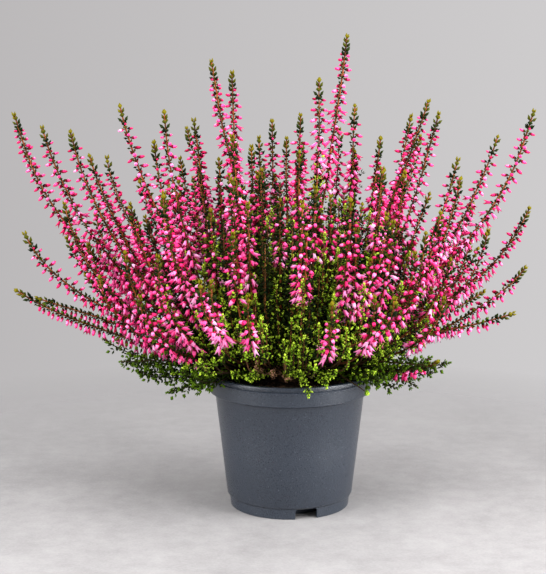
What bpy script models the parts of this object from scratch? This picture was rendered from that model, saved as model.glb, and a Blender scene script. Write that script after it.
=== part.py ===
# Potted heather: a bushy plant with upright flower spikes in a round plastic nursery pot.
# Units are metres, +Z is up, +Y points away from the viewer.
# The origin is the middle of the pot's flat underside.

import bisect
import math
import random

import bmesh
import bpy
from mathutils import Matrix, Quaternion, Vector
from mathutils.bvhtree import BVHTree

# Pot, as radii and heights of its turned profile
RIM_RADIUS = 0.0600
RIM_TOP = 0.1017
LIP_HEIGHT = 0.0027
LIP_ROUND = 0.0009
LIP_OVERHANG = 0.0008
LIP_CORNER = 0.3
LIP_FOOT_CORNER = 0.6
BAND_FOOT_RADIUS = 0.0579
BAND_FOOT = 0.0885
CHAMFER_FOOT = 0.0852
BODY_TOP_RADIUS = 0.0551
BODY_FOOT_RADIUS = 0.0465
STEP_TOP = 0.0092
STEP_FOOT = 0.0078
FOOT_TOP_RADIUS = 0.0448
FOOT_RADIUS = 0.0439
WALL = 0.0016
RIM_FLARE = 0.0004
FOOT_FILLET = 0.0010
FOOT_WALL = 0.0026
PAD_RADIUS = 0.0300
FLOOR = 0.0024
CHANNEL_ROOF = 0.0084
POT_SIDES = 40

# Drain notches in the foot: the first one stands a little right of the front
NOTCH_COUNT = 3
NOTCH_FIRST = math.radians(285.6)
NOTCH_WIDTH = 0.0165
NOTCH_HEIGHT = 0.0079
NOTCH_DEPTH = 0.0078
NOTCH_CORNER = 0.0022

# Compost: its top drops from the middle to the wall, and is lumpy outside the stem's seat
COMPOST_TOP = 0.0940
COMPOST_DROP = 0.0022
COMPOST_HOLLOW = 0.0011
COMPOST_LUMP = 0.0007
COMPOST_SEAT = 0.0030
COMPOST_RINGS = 4
COMPOST_SIDES = 28

# Woody stem: a short flared foot that swells into the head that all boughs leave
STEM_FLARE = 0.0112
STEM_KNEE = 0.0101
STEM_WAIST = 0.0090
STEM_WAIST_HEIGHT = 0.0050
HEAD_RADIUS = 0.0130
HEAD_HEIGHT = 0.1140
HEAD_STEPS = 6
STEM_SIDES = 16

# Boughs
BOUGH_ROOT = 0.00130
BOUGH_TIP = 0.00100
BOUGH_END = 0.25
BOUGH_POINTS = 4

# Points closer than this are one point
MERGE = 0.00001

# Gap between pieces that touch, and the room that each mass keeps to its neighbours and
# to the pot's rim; a neighbour still claims its side of the space a little past its tip
TOUCH = 0.0003
ROOM = 0.0008
RIM_ROOM = 0.0018
PAST_TIP = 0.015

# Shoots, and how side shoots leave them: where they fork, how far their tips stand from
# the main tip in degrees and as a share of its reach, and how long they run along with it
SHOOT_POINTS = 5
SIDE_FORKS = (0.10, 0.24)
SIDE_SPREAD = (6.0, 14.0)
SIDE_REACH = (0.84, 0.97)
SIDE_ALONG = 0.42
SIDE_ACROSS = 0.10
SIDE_TRIES = 24
TWIG_FREE = 0.15
TWIG_TESTS = 12
AXIS_STEPS = 32
TWIG_ROOT = 0.00085
TWIG_TIP = 0.00045

# Blossom: the lowest and highest floret on a spike
FLORETS = 6
FLORET_SPAN = (0.34, 0.90)
FLORET_LENGTH = (0.0150, 0.0100)
FLORET_WIDTH = (0.0090, 0.0064)
FLORET_LEAN = (56.0, 36.0)
LEAF_WIDEST = 0.55

# The leafy tip of a shoot: its length, and the twig's radius where it swells and ends
TIP_LENGTH = 0.0110
TIP_WIDEST = 0.45
TIP_SWELL = 0.0016
TIP_POINT = 0.0002

# Green leaf sprays low on the shoots, each standing for a sprig of small leaves
SPRAYS = 2
SPRAY_SPAN = (0.05, 0.26)
SPRAY_LENGTH = (0.0170, 0.0190)
SPRAY_WIDTH = 0.0078
SPRAY_THICK = 0.0034
SPRAY_LEAN = (48.0, 38.0)
LEAF_SIDES = 3
LEAF_TRIES = 6
GOLDEN_TURN = math.radians(137.5)

# Each flowering mass's main shoot: azimuth (0 is right, 270 is the front) and lean from
# upright in degrees, reach from the middle of the stem's head, and how far the middle of
# the shoot is pulled below its chord, as a share of the reach; then the mass's seed
BLOSSOM_MASSES = {
    "left_high": (178, 49, 0.265, 0.44, 16),
    "left_low": (190, 64, 0.212, 0.24, 56),
    "left_back": (150, 50, 0.212, 0.28, 1),
    "left_upper": (192, 34, 0.219, 0.26, 116),
    "middle_left": (180, 15, 0.220, 0.10, 65),
    "middle_right": (352, 10, 0.233, 0.06, 60),
    "right_upper": (8, 29, 0.209, 0.20, 44),
    "right_high": (358, 44.5, 0.249, 0.36, 56),
    "right_middle": (8, 60, 0.207, 0.30, 97),
    "right_low": (350, 78, 0.165, 0.10, 72),
    "right_back": (42, 42, 0.205, 0.24, 3),
    "front_upper": (236, 24, 0.178, 0.16, 29),
    "front_left": (226, 45, 0.176, 0.22, 7),
    "front_left_low": (246, 63, 0.165, 0.16, 113),
    "front_middle": (274, 40, 0.160, 0.20, 54),
    "front_right": (306, 44, 0.157, 0.22, 37),
    "front_right_low": (300, 66, 0.148, 0.14, 55),
    "back_left_upper": (143, 31, 0.188, 0.20, 2),
    "back_upper": (82, 19, 0.180, 0.14, 3),
    "back_left": (118, 60, 0.190, 0.24, 2),
    "back_right": (68, 61, 0.188, 0.24, 2),
}

# Each low green mass's main shoot, in the same way; a negative pull makes it arch over
GREEN_MASSES = {
    "left": (203, 88, 0.130, -0.02, 33),
    "front_left": (222, 88, 0.100, -0.05, 8),
    "front": (276, 92, 0.080, -0.10, 43),
    "right": (328, 88, 0.112, -0.05, 8),
    "back_right": (40, 87, 0.118, -0.05, 1),
    "back_left": (130, 87, 0.118, -0.05, 3),
}
GREEN_FORKS = (0.32, 0.46)
GREEN_SPREAD = (14.0, 24.0)
GREEN_REACH = (0.76, 0.95)
GREEN_LEAVES = 5
GREEN_SPAN = (0.34, 0.86)

HEAD = Vector((0, 0, HEAD_HEIGHT))
UP = Vector((0, 0, 1))

for old in list(bpy.data.objects):
    bpy.data.objects.remove(old, do_unlink=True)


def new_collection(name):
    made = bpy.data.collections.new(name)
    bpy.context.scene.collection.children.link(made)
    return made


parts = new_collection("potted_heather")
helpers = new_collection("helpers")


def material(name, colour, roughness):
    made = bpy.data.materials.new(name)
    made.use_nodes = True
    shader = made.node_tree.nodes["Principled BSDF"]
    shader.inputs["Base Color"].default_value = (*colour, 1)
    shader.inputs["Roughness"].default_value = roughness
    shader.inputs["Metallic"].default_value = 0
    return made


pot_plastic = material("pot_plastic", (0.030, 0.036, 0.043), 0.42)
peat = material("peat", (0.022, 0.012, 0.007), 0.95)
bark = material("bark", (0.105, 0.045, 0.022), 0.85)
blossom = material("blossom", (0.520, 0.095, 0.200), 0.60)
foliage = material("foliage", (0.080, 0.150, 0.024), 0.65)


def add_object(name, mesh, finish, collection=parts):
    made = bpy.data.objects.new(name, mesh)
    collection.objects.link(made)
    if finish is not None:
        mesh.materials.clear()
        mesh.materials.append(finish)
    return made


def hide(helper):
    helper.hide_render = True
    helper.display_type = "WIRE"


def evaluated_mesh(source):
    graph = bpy.context.evaluated_depsgraph_get()
    return bpy.data.meshes.new_from_object(source.evaluated_get(graph))


def turned(name, profile, sides, finish):
    """A closed profile of (radius, height) points turned round the Z axis."""
    mesh = bpy.data.meshes.new(name)
    edges = [(k, k + 1) for k in range(len(profile) - 1)]
    mesh.from_pydata([(radius, 0, height) for radius, height in profile], edges, [])
    made = add_object(name, mesh, finish)
    screw = made.modifiers.new("turn", "SCREW")
    screw.axis = "Z"
    screw.angle = math.tau
    screw.steps = sides
    screw.render_steps = sides
    screw.use_merge_vertices = True
    screw.merge_threshold = MERGE
    screw.use_smooth_shade = False
    return made


# Pot

def pot_profile():
    """Along the inner floor, up the inside, over the rim and down to the underside."""
    inner_foot = BODY_FOOT_RADIUS - WALL - FOOT_FILLET
    inner_rim = BAND_FOOT_RADIUS - WALL
    floor_edge = CHANNEL_ROOF + FLOOR
    band_radius = RIM_RADIUS - LIP_OVERHANG
    lip_foot = RIM_TOP - LIP_HEIGHT
    return [
        (0, FLOOR),
        (PAD_RADIUS - FLOOR * 0.5, FLOOR),
        (PAD_RADIUS, floor_edge),
        (inner_foot, floor_edge),
        (BODY_TOP_RADIUS - WALL, CHAMFER_FOOT),
        (inner_rim - RIM_FLARE, lip_foot),
        (inner_rim, RIM_TOP - LIP_ROUND),
        (inner_rim + LIP_ROUND, RIM_TOP),
        (RIM_RADIUS - LIP_ROUND, RIM_TOP),
        (RIM_RADIUS - LIP_ROUND * LIP_CORNER, RIM_TOP - LIP_ROUND * LIP_CORNER),
        (RIM_RADIUS, RIM_TOP - LIP_ROUND),
        (RIM_RADIUS, lip_foot + LIP_ROUND * LIP_FOOT_CORNER),
        (band_radius, lip_foot),
        (BAND_FOOT_RADIUS, BAND_FOOT),
        (BODY_TOP_RADIUS, CHAMFER_FOOT),
        (BODY_FOOT_RADIUS, STEP_TOP),
        (FOOT_TOP_RADIUS, STEP_FOOT),
        (FOOT_RADIUS, 0),
        (FOOT_RADIUS - FOOT_WALL, 0),
        (FOOT_RADIUS - FOOT_WALL, CHANNEL_ROOF),
        (PAD_RADIUS + FLOOR * 0.5, CHANNEL_ROOF),
        (PAD_RADIUS, 0),
        (0, 0),
    ]


def notch_cutter(azimuth):
    """A box with rounded upper edges that opens the foot from the channel to the outside."""
    mesh = bpy.data.meshes.new("notch_cutter")
    shape = bmesh.new()
    bmesh.ops.create_cube(shape, size=1)
    bmesh.ops.scale(shape, vec=(NOTCH_DEPTH, NOTCH_WIDTH, NOTCH_HEIGHT * 2),
                    verts=shape.verts)
    upper = [edge for edge in shape.edges
             if all(vert.co.z > 0 for vert in edge.verts)
             and abs(edge.verts[0].co.y - edge.verts[1].co.y) < NOTCH_WIDTH * 0.5]
    bmesh.ops.bevel(shape, geom=upper, offset=NOTCH_CORNER, segments=3, profile=0.5,
                    affect="EDGES", material=-1)
    bmesh.ops.translate(shape, vec=(FOOT_RADIUS - FOOT_WALL * 0.5, 0, 0), verts=shape.verts)
    shape.to_mesh(mesh)
    shape.free()
    cutter = add_object("notch_cutter", mesh, None, helpers)
    cutter.rotation_euler.z = azimuth
    hide(cutter)
    return cutter


pot = turned("pot", pot_profile(), POT_SIDES, pot_plastic)
for k in range(NOTCH_COUNT):
    cut = pot.modifiers.new(f"notch_{k}", "BOOLEAN")
    cut.operation = "DIFFERENCE"
    cut.solver = "EXACT"
    cut.object = notch_cutter(NOTCH_FIRST + math.tau * k / NOTCH_COUNT)


# Compost

def compost_profile():
    """Down the middle of the top, out to the pot's wall and in along the floor."""
    floor_edge = CHANNEL_ROOF + FLOOR
    low = BODY_TOP_RADIUS - WALL
    high = BAND_FOOT_RADIUS - WALL - RIM_FLARE
    top = COMPOST_TOP - COMPOST_DROP
    share = (top - CHAMFER_FOOT) / (RIM_TOP - LIP_HEIGHT - CHAMFER_FOOT)
    edge = low + (high - low) * share - TOUCH * 2
    seat = STEM_FLARE + COMPOST_SEAT
    rings = [(seat + (edge - seat) * k / COMPOST_RINGS,
              COMPOST_TOP - COMPOST_DROP * (k / COMPOST_RINGS) ** 2)
             for k in range(COMPOST_RINGS + 1)]
    return [
        (0, COMPOST_TOP),
        *rings,
        (low - TOUCH * 2, CHAMFER_FOOT),
        (BODY_FOOT_RADIUS - WALL - FOOT_FILLET - TOUCH * 2, floor_edge + TOUCH),
        (PAD_RADIUS - TOUCH, floor_edge + TOUCH),
        (PAD_RADIUS - FLOOR * 0.5 - TOUCH * 2, FLOOR + TOUCH),
        (0, FLOOR + TOUCH),
    ]


def lumpy(compost, seed=11):
    """Raises and lowers the points of the compost's top outside the stem's seat."""
    chance = random.Random(seed)
    seat = STEM_FLARE + COMPOST_SEAT + MERGE
    mesh = evaluated_mesh(compost)
    compost.modifiers.clear()
    compost.data = mesh
    for vert in mesh.vertices:
        out = math.hypot(vert.co.x, vert.co.y)
        if vert.co.z > COMPOST_TOP - COMPOST_DROP - MERGE and out > seat:
            vert.co.z += chance.uniform(-COMPOST_HOLLOW, COMPOST_LUMP)


lumpy(turned("compost", compost_profile(), COMPOST_SIDES, peat))


# Stem

def stem_profile():
    foot = COMPOST_TOP + TOUCH
    waist = foot + STEM_WAIST_HEIGHT
    join = math.asin(STEM_WAIST / HEAD_RADIUS)
    low = math.pi - join
    arc = [(HEAD_RADIUS * math.sin(low * k / HEAD_STEPS),
            HEAD_HEIGHT + HEAD_RADIUS * math.cos(low * k / HEAD_STEPS))
           for k in range(HEAD_STEPS + 1)]
    return [
        *arc,
        (STEM_WAIST, waist),
        (STEM_KNEE, foot + STEM_WAIST_HEIGHT * 0.45),
        (STEM_FLARE, foot),
        (0, foot),
    ]


turned("stem", stem_profile(), STEM_SIDES, bark)


# Shoots

def direction(azimuth, lean):
    azimuth = math.radians(azimuth)
    lean = math.radians(lean)
    return Vector((math.sin(lean) * math.cos(azimuth),
                   math.sin(lean) * math.sin(azimuth),
                   math.cos(lean)))


def bend(shoot, t):
    """A point of the quadratic curve through a shoot's ends that its middle pulls."""
    start, middle, end = shoot
    return start * (1 - t) ** 2 + middle * (2 * t * (1 - t)) + end * t ** 2


def main_shoot(azimuth, lean, reach, sag):
    """A shoot from the stem's head that leaves low and turns upwards."""
    chord = direction(azimuth, lean)
    below = chord * chord.z - UP
    return HEAD, HEAD + (chord * 0.5 + below * sag) * reach, HEAD + chord * reach


def side_shoot(foot, ahead, main, turn, spread, share):
    """A shoot that leaves the main one at its foot and ends beside the main tip."""
    start, _, end = main
    chord = end - start
    across = Quaternion(chord.normalized(), turn) @ chord.orthogonal().normalized()
    tip = start + (Quaternion(across, spread) @ chord) * share
    way = tip - foot
    return foot, foot + ahead * (way.length * SIDE_ALONG) + way * SIDE_ACROSS, tip


class Axis:
    """A mass's main shoot, read by its distance from the stem's head."""

    def __init__(self, shoot):
        self.points = [bend(shoot, k / AXIS_STEPS) for k in range(AXIS_STEPS + 1)]
        self.reaches = [(point - HEAD).length for point in self.points]
        self.reach = self.reaches[-1]
        self.ahead = (self.points[-1] - self.points[-2]).normalized()

    def at(self, reach):
        if reach >= self.reach:
            return self.points[-1] + self.ahead * (reach - self.reach)
        k = bisect.bisect_left(self.reaches, reach, 1)
        low = self.reaches[k - 1]
        return self.points[k - 1].lerp(self.points[k], (reach - low) / (self.reaches[k] - low))


shoots = {}
for name, (*sizes, _) in BLOSSOM_MASSES.items():
    shoots["spikes_" + name] = main_shoot(*sizes)
for name, (*sizes, _) in GREEN_MASSES.items():
    shoots["sprays_" + name] = main_shoot(*sizes)
axes = {name: Axis(shoot) for name, shoot in shoots.items()}


def bough_radius(share):
    return BOUGH_ROOT + (BOUGH_TIP - BOUGH_ROOT) * share


def bough_run(name):
    """The bough's centre line, from just clear of the stem's head to the mass."""
    start = HEAD_RADIUS + TOUCH
    axis = axes["spikes_" + name]
    end = (bend(shoots["spikes_" + name], BOUGH_END) - HEAD).length
    return [axis.at(start + (end - start) * k / (BOUGH_POINTS - 1)) for k in range(BOUGH_POINTS)]


bough_runs = {name: bough_run(name) for name in BLOSSOM_MASSES}


def distance_to_run(point, run):
    """How far a point is from a run of straight pieces, and how far along that is."""
    nearest = (1, 0)
    for k in range(len(run) - 1):
        piece = run[k + 1] - run[k]
        share = max(0, min(1, (point - run[k]).dot(piece) / piece.length_squared))
        gap = (run[k] + piece * share - point).length
        nearest = min(nearest, (gap, (k + share) / (len(run) - 1)))
    return nearest


def in_space(name, point):
    """True where a point is in the mass's own space, clear of the boughs and the pot."""
    reach = (point - HEAD).length
    own = (point - axes[name].at(reach)).length
    for other, axis in axes.items():
        if other != name and reach < axis.reach + PAST_TIP:
            if own + ROOM > (point - axis.at(reach)).length:
                return False
    for run in bough_runs.values():
        gap, share = distance_to_run(point, run)
        if gap < bough_radius(share) + ROOM:
            return False
    out = math.hypot(point.x, point.y)
    return out > RIM_RADIUS + RIM_ROOM or point.z > RIM_TOP + RIM_ROOM


# Meshes of the boughs, twigs and leaves

triangle = bpy.data.curves.new("twig_section", "CURVE")
section = triangle.splines.new("POLY")
section.points.add(2)
for k, point in enumerate(section.points):
    point.co = (math.cos(math.tau * k / 3), math.sin(math.tau * k / 3), 0, 1)
section.use_cyclic_u = True
twig_section = bpy.data.objects.new("twig_section", triangle)
helpers.objects.link(twig_section)
hide(twig_section)


def rod(name, run, radii, finish, collection, bevel_object=None):
    """A limb along a run of points with a radius at each, as a mesh with welded caps."""
    curve = bpy.data.curves.new(name, "CURVE")
    curve.dimensions = "3D"
    curve.twist_mode = "MINIMUM"
    curve.use_fill_caps = True
    if bevel_object is None:
        curve.bevel_depth = 1
        curve.bevel_resolution = 1
    else:
        curve.bevel_mode = "OBJECT"
        curve.bevel_object = bevel_object
    spline = curve.splines.new("POLY")
    spline.points.add(len(run) - 1)
    for point, place, radius in zip(spline.points, run, radii):
        point.co = (*place, 1)
        point.radius = radius
    limb = bpy.data.objects.new(name + "_curve", curve)
    helpers.objects.link(limb)
    mesh = evaluated_mesh(limb)
    bpy.data.objects.remove(limb)
    bpy.data.curves.remove(curve)
    shape = bmesh.new()
    shape.from_mesh(mesh)
    bmesh.ops.remove_doubles(shape, verts=shape.verts, dist=MERGE)
    bmesh.ops.recalc_face_normals(shape, faces=shape.faces)
    shape.to_mesh(mesh)
    shape.free()
    return add_object(name, mesh, finish, collection)


def mix(pair, share):
    return pair[0] + (pair[1] - pair[0]) * share


class Twig:
    """A three-sided twig along a shoot, whose last stretch swells into a leafy tip."""

    def __init__(self, shoot, first=0):
        length = (shoot[2] - shoot[0]).length * (1 - first)
        tip = 1 - TIP_LENGTH / length
        steps = [k / (SHOOT_POINTS - 1) for k in range(SHOOT_POINTS)]
        self.stops = [tip * step for step in steps] + [mix((tip, 1), TIP_WIDEST), 1]
        self.run = [bend(shoot, first + (1 - first) * stop) for stop in self.stops]
        self.radii = [mix((TWIG_ROOT, TWIG_TIP), step) for step in steps]
        self.radii += [TIP_SWELL, TIP_POINT]

    def at(self, share):
        """A place on the twig's own straight pieces, and the way it runs there."""
        k = min(bisect.bisect_right(self.stops, share), len(self.stops) - 1)
        low = self.stops[k - 1]
        ahead = self.run[k] - self.run[k - 1]
        place = self.run[k - 1] + ahead * ((share - low) / (self.stops[k] - low))
        return place, ahead.normalized()

    def fits(self, name):
        steps = [mix((TWIG_FREE, 1), k / TWIG_TESTS) for k in range(TWIG_TESTS + 1)]
        return all(in_space(name, self.at(step)[0]) for step in steps)


def leaf_shape(foot, out, face, size):
    """A spindle pulled from a small sphere, its length along out, its flat side to face."""
    side = out.cross(face).normalized()
    turn = Matrix((side, out.cross(side), out)).transposed().to_4x4()
    shape = bmesh.new()
    bmesh.ops.create_uvsphere(shape, u_segments=LEAF_SIDES, v_segments=2, radius=0.5)
    for vert in shape.verts:
        if abs(vert.co.z) < 0.1:
            vert.co.z = LEAF_WIDEST
        else:
            vert.co.z = 0 if vert.co.z < 0 else 1
    bmesh.ops.scale(shape, vec=size, verts=shape.verts)
    bmesh.ops.transform(shape, matrix=Matrix.Translation(foot) @ turn, verts=shape.verts)
    return shape


def floret_size(share):
    width = mix(FLORET_WIDTH, share)
    return width, width, mix(FLORET_LENGTH, share)


def spray_size(share):
    return SPRAY_WIDTH, SPRAY_THICK, mix(SPRAY_LENGTH, share)


class Mass:
    """Twigs and leaves that grow in one mass's own space and end as one fused body."""

    def __init__(self, name, seed, first):
        self.name = name
        self.shoot = shoots[name]
        self.chance = random.Random(seed)
        self.loose = new_collection(name + "_loose")
        self.twigs = []
        self.trees = {}
        self.stem = self.add_twig(Twig(self.shoot, first), helpers)

    def keep(self, owner, shape):
        self.trees.setdefault(owner, []).append(BVHTree.FromBMesh(shape))

    def add_twig(self, twig, collection):
        made = rod(self.name + "_twig", twig.run, twig.radii, None, collection, twig_section)
        shape = bmesh.new()
        shape.from_mesh(made.data)
        self.keep(twig, shape)
        shape.free()
        self.twigs.append(twig)
        return made

    def fork(self, share, spreads, reaches):
        """Adds the first of some seeded side twigs that stays in the space."""
        foot, ahead = self.twigs[0].at(share)
        for _ in range(SIDE_TRIES):
            turn = self.chance.uniform(0, math.tau)
            spread = math.radians(self.chance.uniform(*spreads))
            reach = self.chance.uniform(*reaches)
            twig = Twig(side_shoot(foot, ahead, self.shoot, turn, spread, reach))
            if twig.fits(self.name):
                self.add_twig(twig, self.loose)
                break

    def has_room(self, shape, twig):
        """True where a leaf keeps to the space and cuts only the twig that it grows on."""
        if not all(in_space(self.name, vert.co) for vert in shape.verts):
            return False
        tree = BVHTree.FromBMesh(shape)
        near = [other for owner, trees in self.trees.items() if owner is not twig
                for other in trees]
        near += self.trees[twig][1:]
        return not any(tree.overlap(other) for other in near)

    def grow(self, twig, span, count, size_at, leans):
        """Leaves or florets that stand off a twig, each turned on by a steady angle."""
        turn = self.chance.uniform(0, math.tau)
        for k in range(count):
            share = k / (count - 1)
            foot, ahead = twig.at(mix(span, share))
            lean = math.radians(mix(leans, share))
            for _ in range(LEAF_TRIES):
                turn += GOLDEN_TURN
                across = Quaternion(ahead, turn) @ ahead.orthogonal().normalized()
                out = ahead * math.cos(lean) + across * math.sin(lean)
                shape = leaf_shape(foot, out, ahead, size_at(share))
                if self.has_room(shape, twig):
                    mesh = bpy.data.meshes.new("leaf")
                    shape.to_mesh(mesh)
                    add_object("leaf", mesh, None, self.loose)
                    self.keep(twig, shape)
                    shape.free()
                    break
                shape.free()

    def fuse(self, finish):
        """Joins the mass's pieces to its stem twig in one body and clears them away."""
        union = self.stem.modifiers.new("fuse", "BOOLEAN")
        union.operation = "UNION"
        union.solver = "EXACT"
        union.operand_type = "COLLECTION"
        union.collection = self.loose
        mesh = evaluated_mesh(self.stem)
        mesh.name = self.name
        for piece in [self.stem, *self.loose.objects]:
            bpy.data.objects.remove(piece, do_unlink=True)
        bpy.data.collections.remove(self.loose)
        add_object(self.name, mesh, finish)


def blossom_mass(name, seed):
    """A main flower spike with side spikes, on from the bough's tip."""
    start, _, end = shoots[name]
    mass = Mass(name, seed, BOUGH_END + TOUCH / (end - start).length)
    for share in SIDE_FORKS:
        mass.fork(share, SIDE_SPREAD, SIDE_REACH)
    for twig in mass.twigs:
        mass.grow(twig, FLORET_SPAN, FLORETS, floret_size, FLORET_LEAN)
    mass.grow(mass.twigs[0], SPRAY_SPAN, SPRAYS, spray_size, SPRAY_LEAN)
    mass.fuse(blossom)


def green_mass(name, seed):
    """Low leafy sprays that leave the stem itself, under the blossom."""
    start, middle, _ = shoots[name]
    mass = Mass(name, seed, (HEAD_RADIUS + TOUCH * 2) / (middle - start).length / 2)
    for share in GREEN_FORKS:
        mass.fork(share, GREEN_SPREAD, GREEN_REACH)
    for twig in mass.twigs:
        mass.grow(twig, GREEN_SPAN, GREEN_LEAVES, spray_size, SPRAY_LEAN)
    mass.fuse(foliage)


for name, run in bough_runs.items():
    radii = [bough_radius(k / (BOUGH_POINTS - 1)) for k in range(BOUGH_POINTS)]
    rod("bough_" + name, run, radii, bark, parts)
for name, (*_, seed) in BLOSSOM_MASSES.items():
    blossom_mass("spikes_" + name, seed)
for name, (*_, seed) in GREEN_MASSES.items():
    green_mass("sprays_" + name, seed)
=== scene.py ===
import bisect
import itertools
import math
import random

import bmesh
import bpy
import numpy as np
from mathutils import Matrix, Quaternion, Vector, noise


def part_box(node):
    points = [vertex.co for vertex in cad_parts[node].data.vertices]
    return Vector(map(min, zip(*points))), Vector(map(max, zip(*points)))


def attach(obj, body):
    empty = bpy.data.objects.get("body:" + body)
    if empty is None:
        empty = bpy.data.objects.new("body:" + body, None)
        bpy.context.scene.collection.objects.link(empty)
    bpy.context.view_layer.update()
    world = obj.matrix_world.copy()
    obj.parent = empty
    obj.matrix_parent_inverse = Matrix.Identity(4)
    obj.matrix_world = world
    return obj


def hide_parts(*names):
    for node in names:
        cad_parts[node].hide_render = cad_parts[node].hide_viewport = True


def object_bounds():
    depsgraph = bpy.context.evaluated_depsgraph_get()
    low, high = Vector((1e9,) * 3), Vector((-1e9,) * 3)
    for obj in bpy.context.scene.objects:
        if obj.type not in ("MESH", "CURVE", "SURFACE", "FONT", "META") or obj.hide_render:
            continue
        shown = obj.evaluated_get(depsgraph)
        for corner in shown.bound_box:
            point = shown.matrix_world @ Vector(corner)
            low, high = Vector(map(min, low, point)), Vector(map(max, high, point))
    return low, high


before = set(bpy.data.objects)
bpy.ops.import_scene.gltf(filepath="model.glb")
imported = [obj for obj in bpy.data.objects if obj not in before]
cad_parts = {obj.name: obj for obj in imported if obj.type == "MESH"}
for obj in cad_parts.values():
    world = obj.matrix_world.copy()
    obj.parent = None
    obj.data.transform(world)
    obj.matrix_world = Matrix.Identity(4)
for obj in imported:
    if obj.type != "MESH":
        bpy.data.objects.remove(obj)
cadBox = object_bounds()
print("frame loaded,", len(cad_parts), "nodes")

# Potted heather: flowering spikes over a green cushion, in a black-grey nursery pot.
# Metres, +Z up, +Y away from the camera, the origin under the middle of the pot.
up = Vector((0, 0, 1))
scene = bpy.context.scene


def mix(pair, share):
    return pair[0] + (pair[1] - pair[0]) * share


def addObject(name, data):
    made = bpy.data.objects.new(name, data)
    scene.collection.objects.link(made)
    return made


def meshOf(name, shape):
    mesh = bpy.data.meshes.new(name)
    shape.to_mesh(mesh)
    shape.free()
    return mesh


# Camera

cameraPlan = {
    "place": (-0.0124, -1.132, 0.357),
    "downwards": 9.70,       # degrees below level
    "lens": 98.15,
    "sensor": 36.0,
    "picture": (546, 574),   # the photograph's size in pixels
}


def placeCamera(plan):
    camera = addObject("camera", bpy.data.cameras.new("camera"))
    camera.location = plan["place"]
    camera.rotation_euler = (math.radians(90 - plan["downwards"]), 0, 0)
    camera.data.lens = plan["lens"]
    camera.data.sensor_width = plan["sensor"]
    scene.camera = camera


placeCamera(cameraPlan)
pitch = math.radians(cameraPlan["downwards"])
focal = cameraPlan["lens"] / cameraPlan["sensor"] * cameraPlan["picture"][1]    # in pixels


# Shader nodes: a value is one output socket, and sums of values add their own nodes

class Value:
    def __init__(self, finish, socket):
        self.finish = finish
        self.socket = socket

    def __add__(self, other):
        return self.finish.maths("ADD", self, other)

    def __sub__(self, other):
        return self.finish.maths("SUBTRACT", self, other)

    def __rsub__(self, other):
        return self.finish.maths("SUBTRACT", other, self)

    def __mul__(self, other):
        return self.finish.maths("MULTIPLY", self, other)

    __radd__ = __add__
    __rmul__ = __mul__


class Finish:                           # the nodes of a material, or of the world
    def __init__(self, name, constants, kind=bpy.data.materials, shader="Principled BSDF"):
        self.material = kind.new(name)
        self.material.use_nodes = True
        self.tree = self.material.node_tree
        self.shader = self.tree.nodes[shader]
        for socket, value in constants.items():
            self.drive(socket, value)

    def node(self, kind, settings, inputs, output=None):
        made = self.tree.nodes.new(kind)
        for name, value in settings.items():
            setattr(made, name, value)
        for name, value in inputs.items():
            self.feed(self.find(made.inputs, name), value)
        return Value(self, self.find(made.outputs, output))

    def find(self, sockets, name):
        if isinstance(name, int):
            return sockets[name]
        return next(s for s in sockets if s.enabled and name in (None, s.name))

    def feed(self, socket, value):      # a plain colour is made opaque
        if isinstance(value, Value):
            self.tree.links.new(value.socket, socket)
        else:
            socket.default_value = (*value, 1) if socket.type == "RGBA" else value

    def drive(self, socket, value):
        self.feed(self.shader.inputs[socket], value)

    def maths(self, operation, first, second):
        return self.node("ShaderNodeMath", {"operation": operation}, {0: first, 1: second})

    def place(self):
        return self.node("ShaderNodeTexCoord", {}, {}, "Object")

    def part(self, place, way):
        return self.node("ShaderNodeSeparateXYZ", {}, {"Vector": place}, way)

    def noise(self, place, scale, detail=3, roughness=0.5):
        return self.node("ShaderNodeTexNoise", {},
                         {"Vector": place, "Scale": scale, "Detail": detail,
                          "Roughness": roughness}, "Fac")

    def between(self, value, low, high):
        return self.node("ShaderNodeMapRange", {"clamp": True},
                         {"Value": value, "From Min": low, "From Max": high})

    def mottled(self, place, scale, detail, roughness, low, high):
        return self.between(self.noise(place, scale, detail, roughness), low, high)

    def blendColours(self, share, first, second):
        return self.node("ShaderNodeMix", {"data_type": "RGBA"},
                         {"Factor": share, "A": first, "B": second})

    def bump(self, height, distance, strength=1.0):
        relief = self.node("ShaderNodeBump", {},
                           {"Height": height, "Distance": distance, "Strength": strength})
        self.drive("Normal", relief)


# Studio: pale floor with painted shade towards the back, fading into a backdrop with painted light,
# lighter to the right, and soft boxes to both sides

studioPlan = {
    "floorColour": (0.238, 0.229, 0.231), "floorPaler": (0.356, 0.345, 0.347),
    "floorFarShade": (0.200, 0.193, 0.195), "farFrom": (0.0, 0.40), "farShadeShare": 0.8,     # darker towards the back, painted shade
    # scale, detail and roughness of each pattern, and the values that it is stretched from
    "clouds": (13, 5, 0.6, 0.3, 0.7), "mottle": (75, 5, 0.65, 0.32, 0.68),
    "grain": (520, 3, 0.6, 0.3, 0.7), "floorGrain": 0.16, "floorMottle": 0.40,
    "floorRadius": 2.4, "floorSides": 96, "floorRoughness": 0.75,
    "fade": (0.27, 0.50),            # where the floor starts to fade, and is gone
    "backdrop": ((0.490, 0.475, 0.480), (0.625, 0.612, 0.618)),     # left and right: painted light, lighter to the right
    "backdropWidth": (-0.2, 0.2),
    "fill": 0.47,                    # the light that comes from all around
    "boxes": {                       # place, aimed at, size, watts
        "rightBox": ((1.08, -0.50, 0.50), (0, 0, 0.16), (1.00, 1.20), 39.0),
        "leftBox": ((-1.05, -0.60, 0.60), (0, 0, 0.16), (1.00, 1.20), 28.0),
        "topBox": ((0.20, -0.25, 1.30), (0, 0, 0.15), (1.40, 1.40), 18.0),
    },
}


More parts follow.
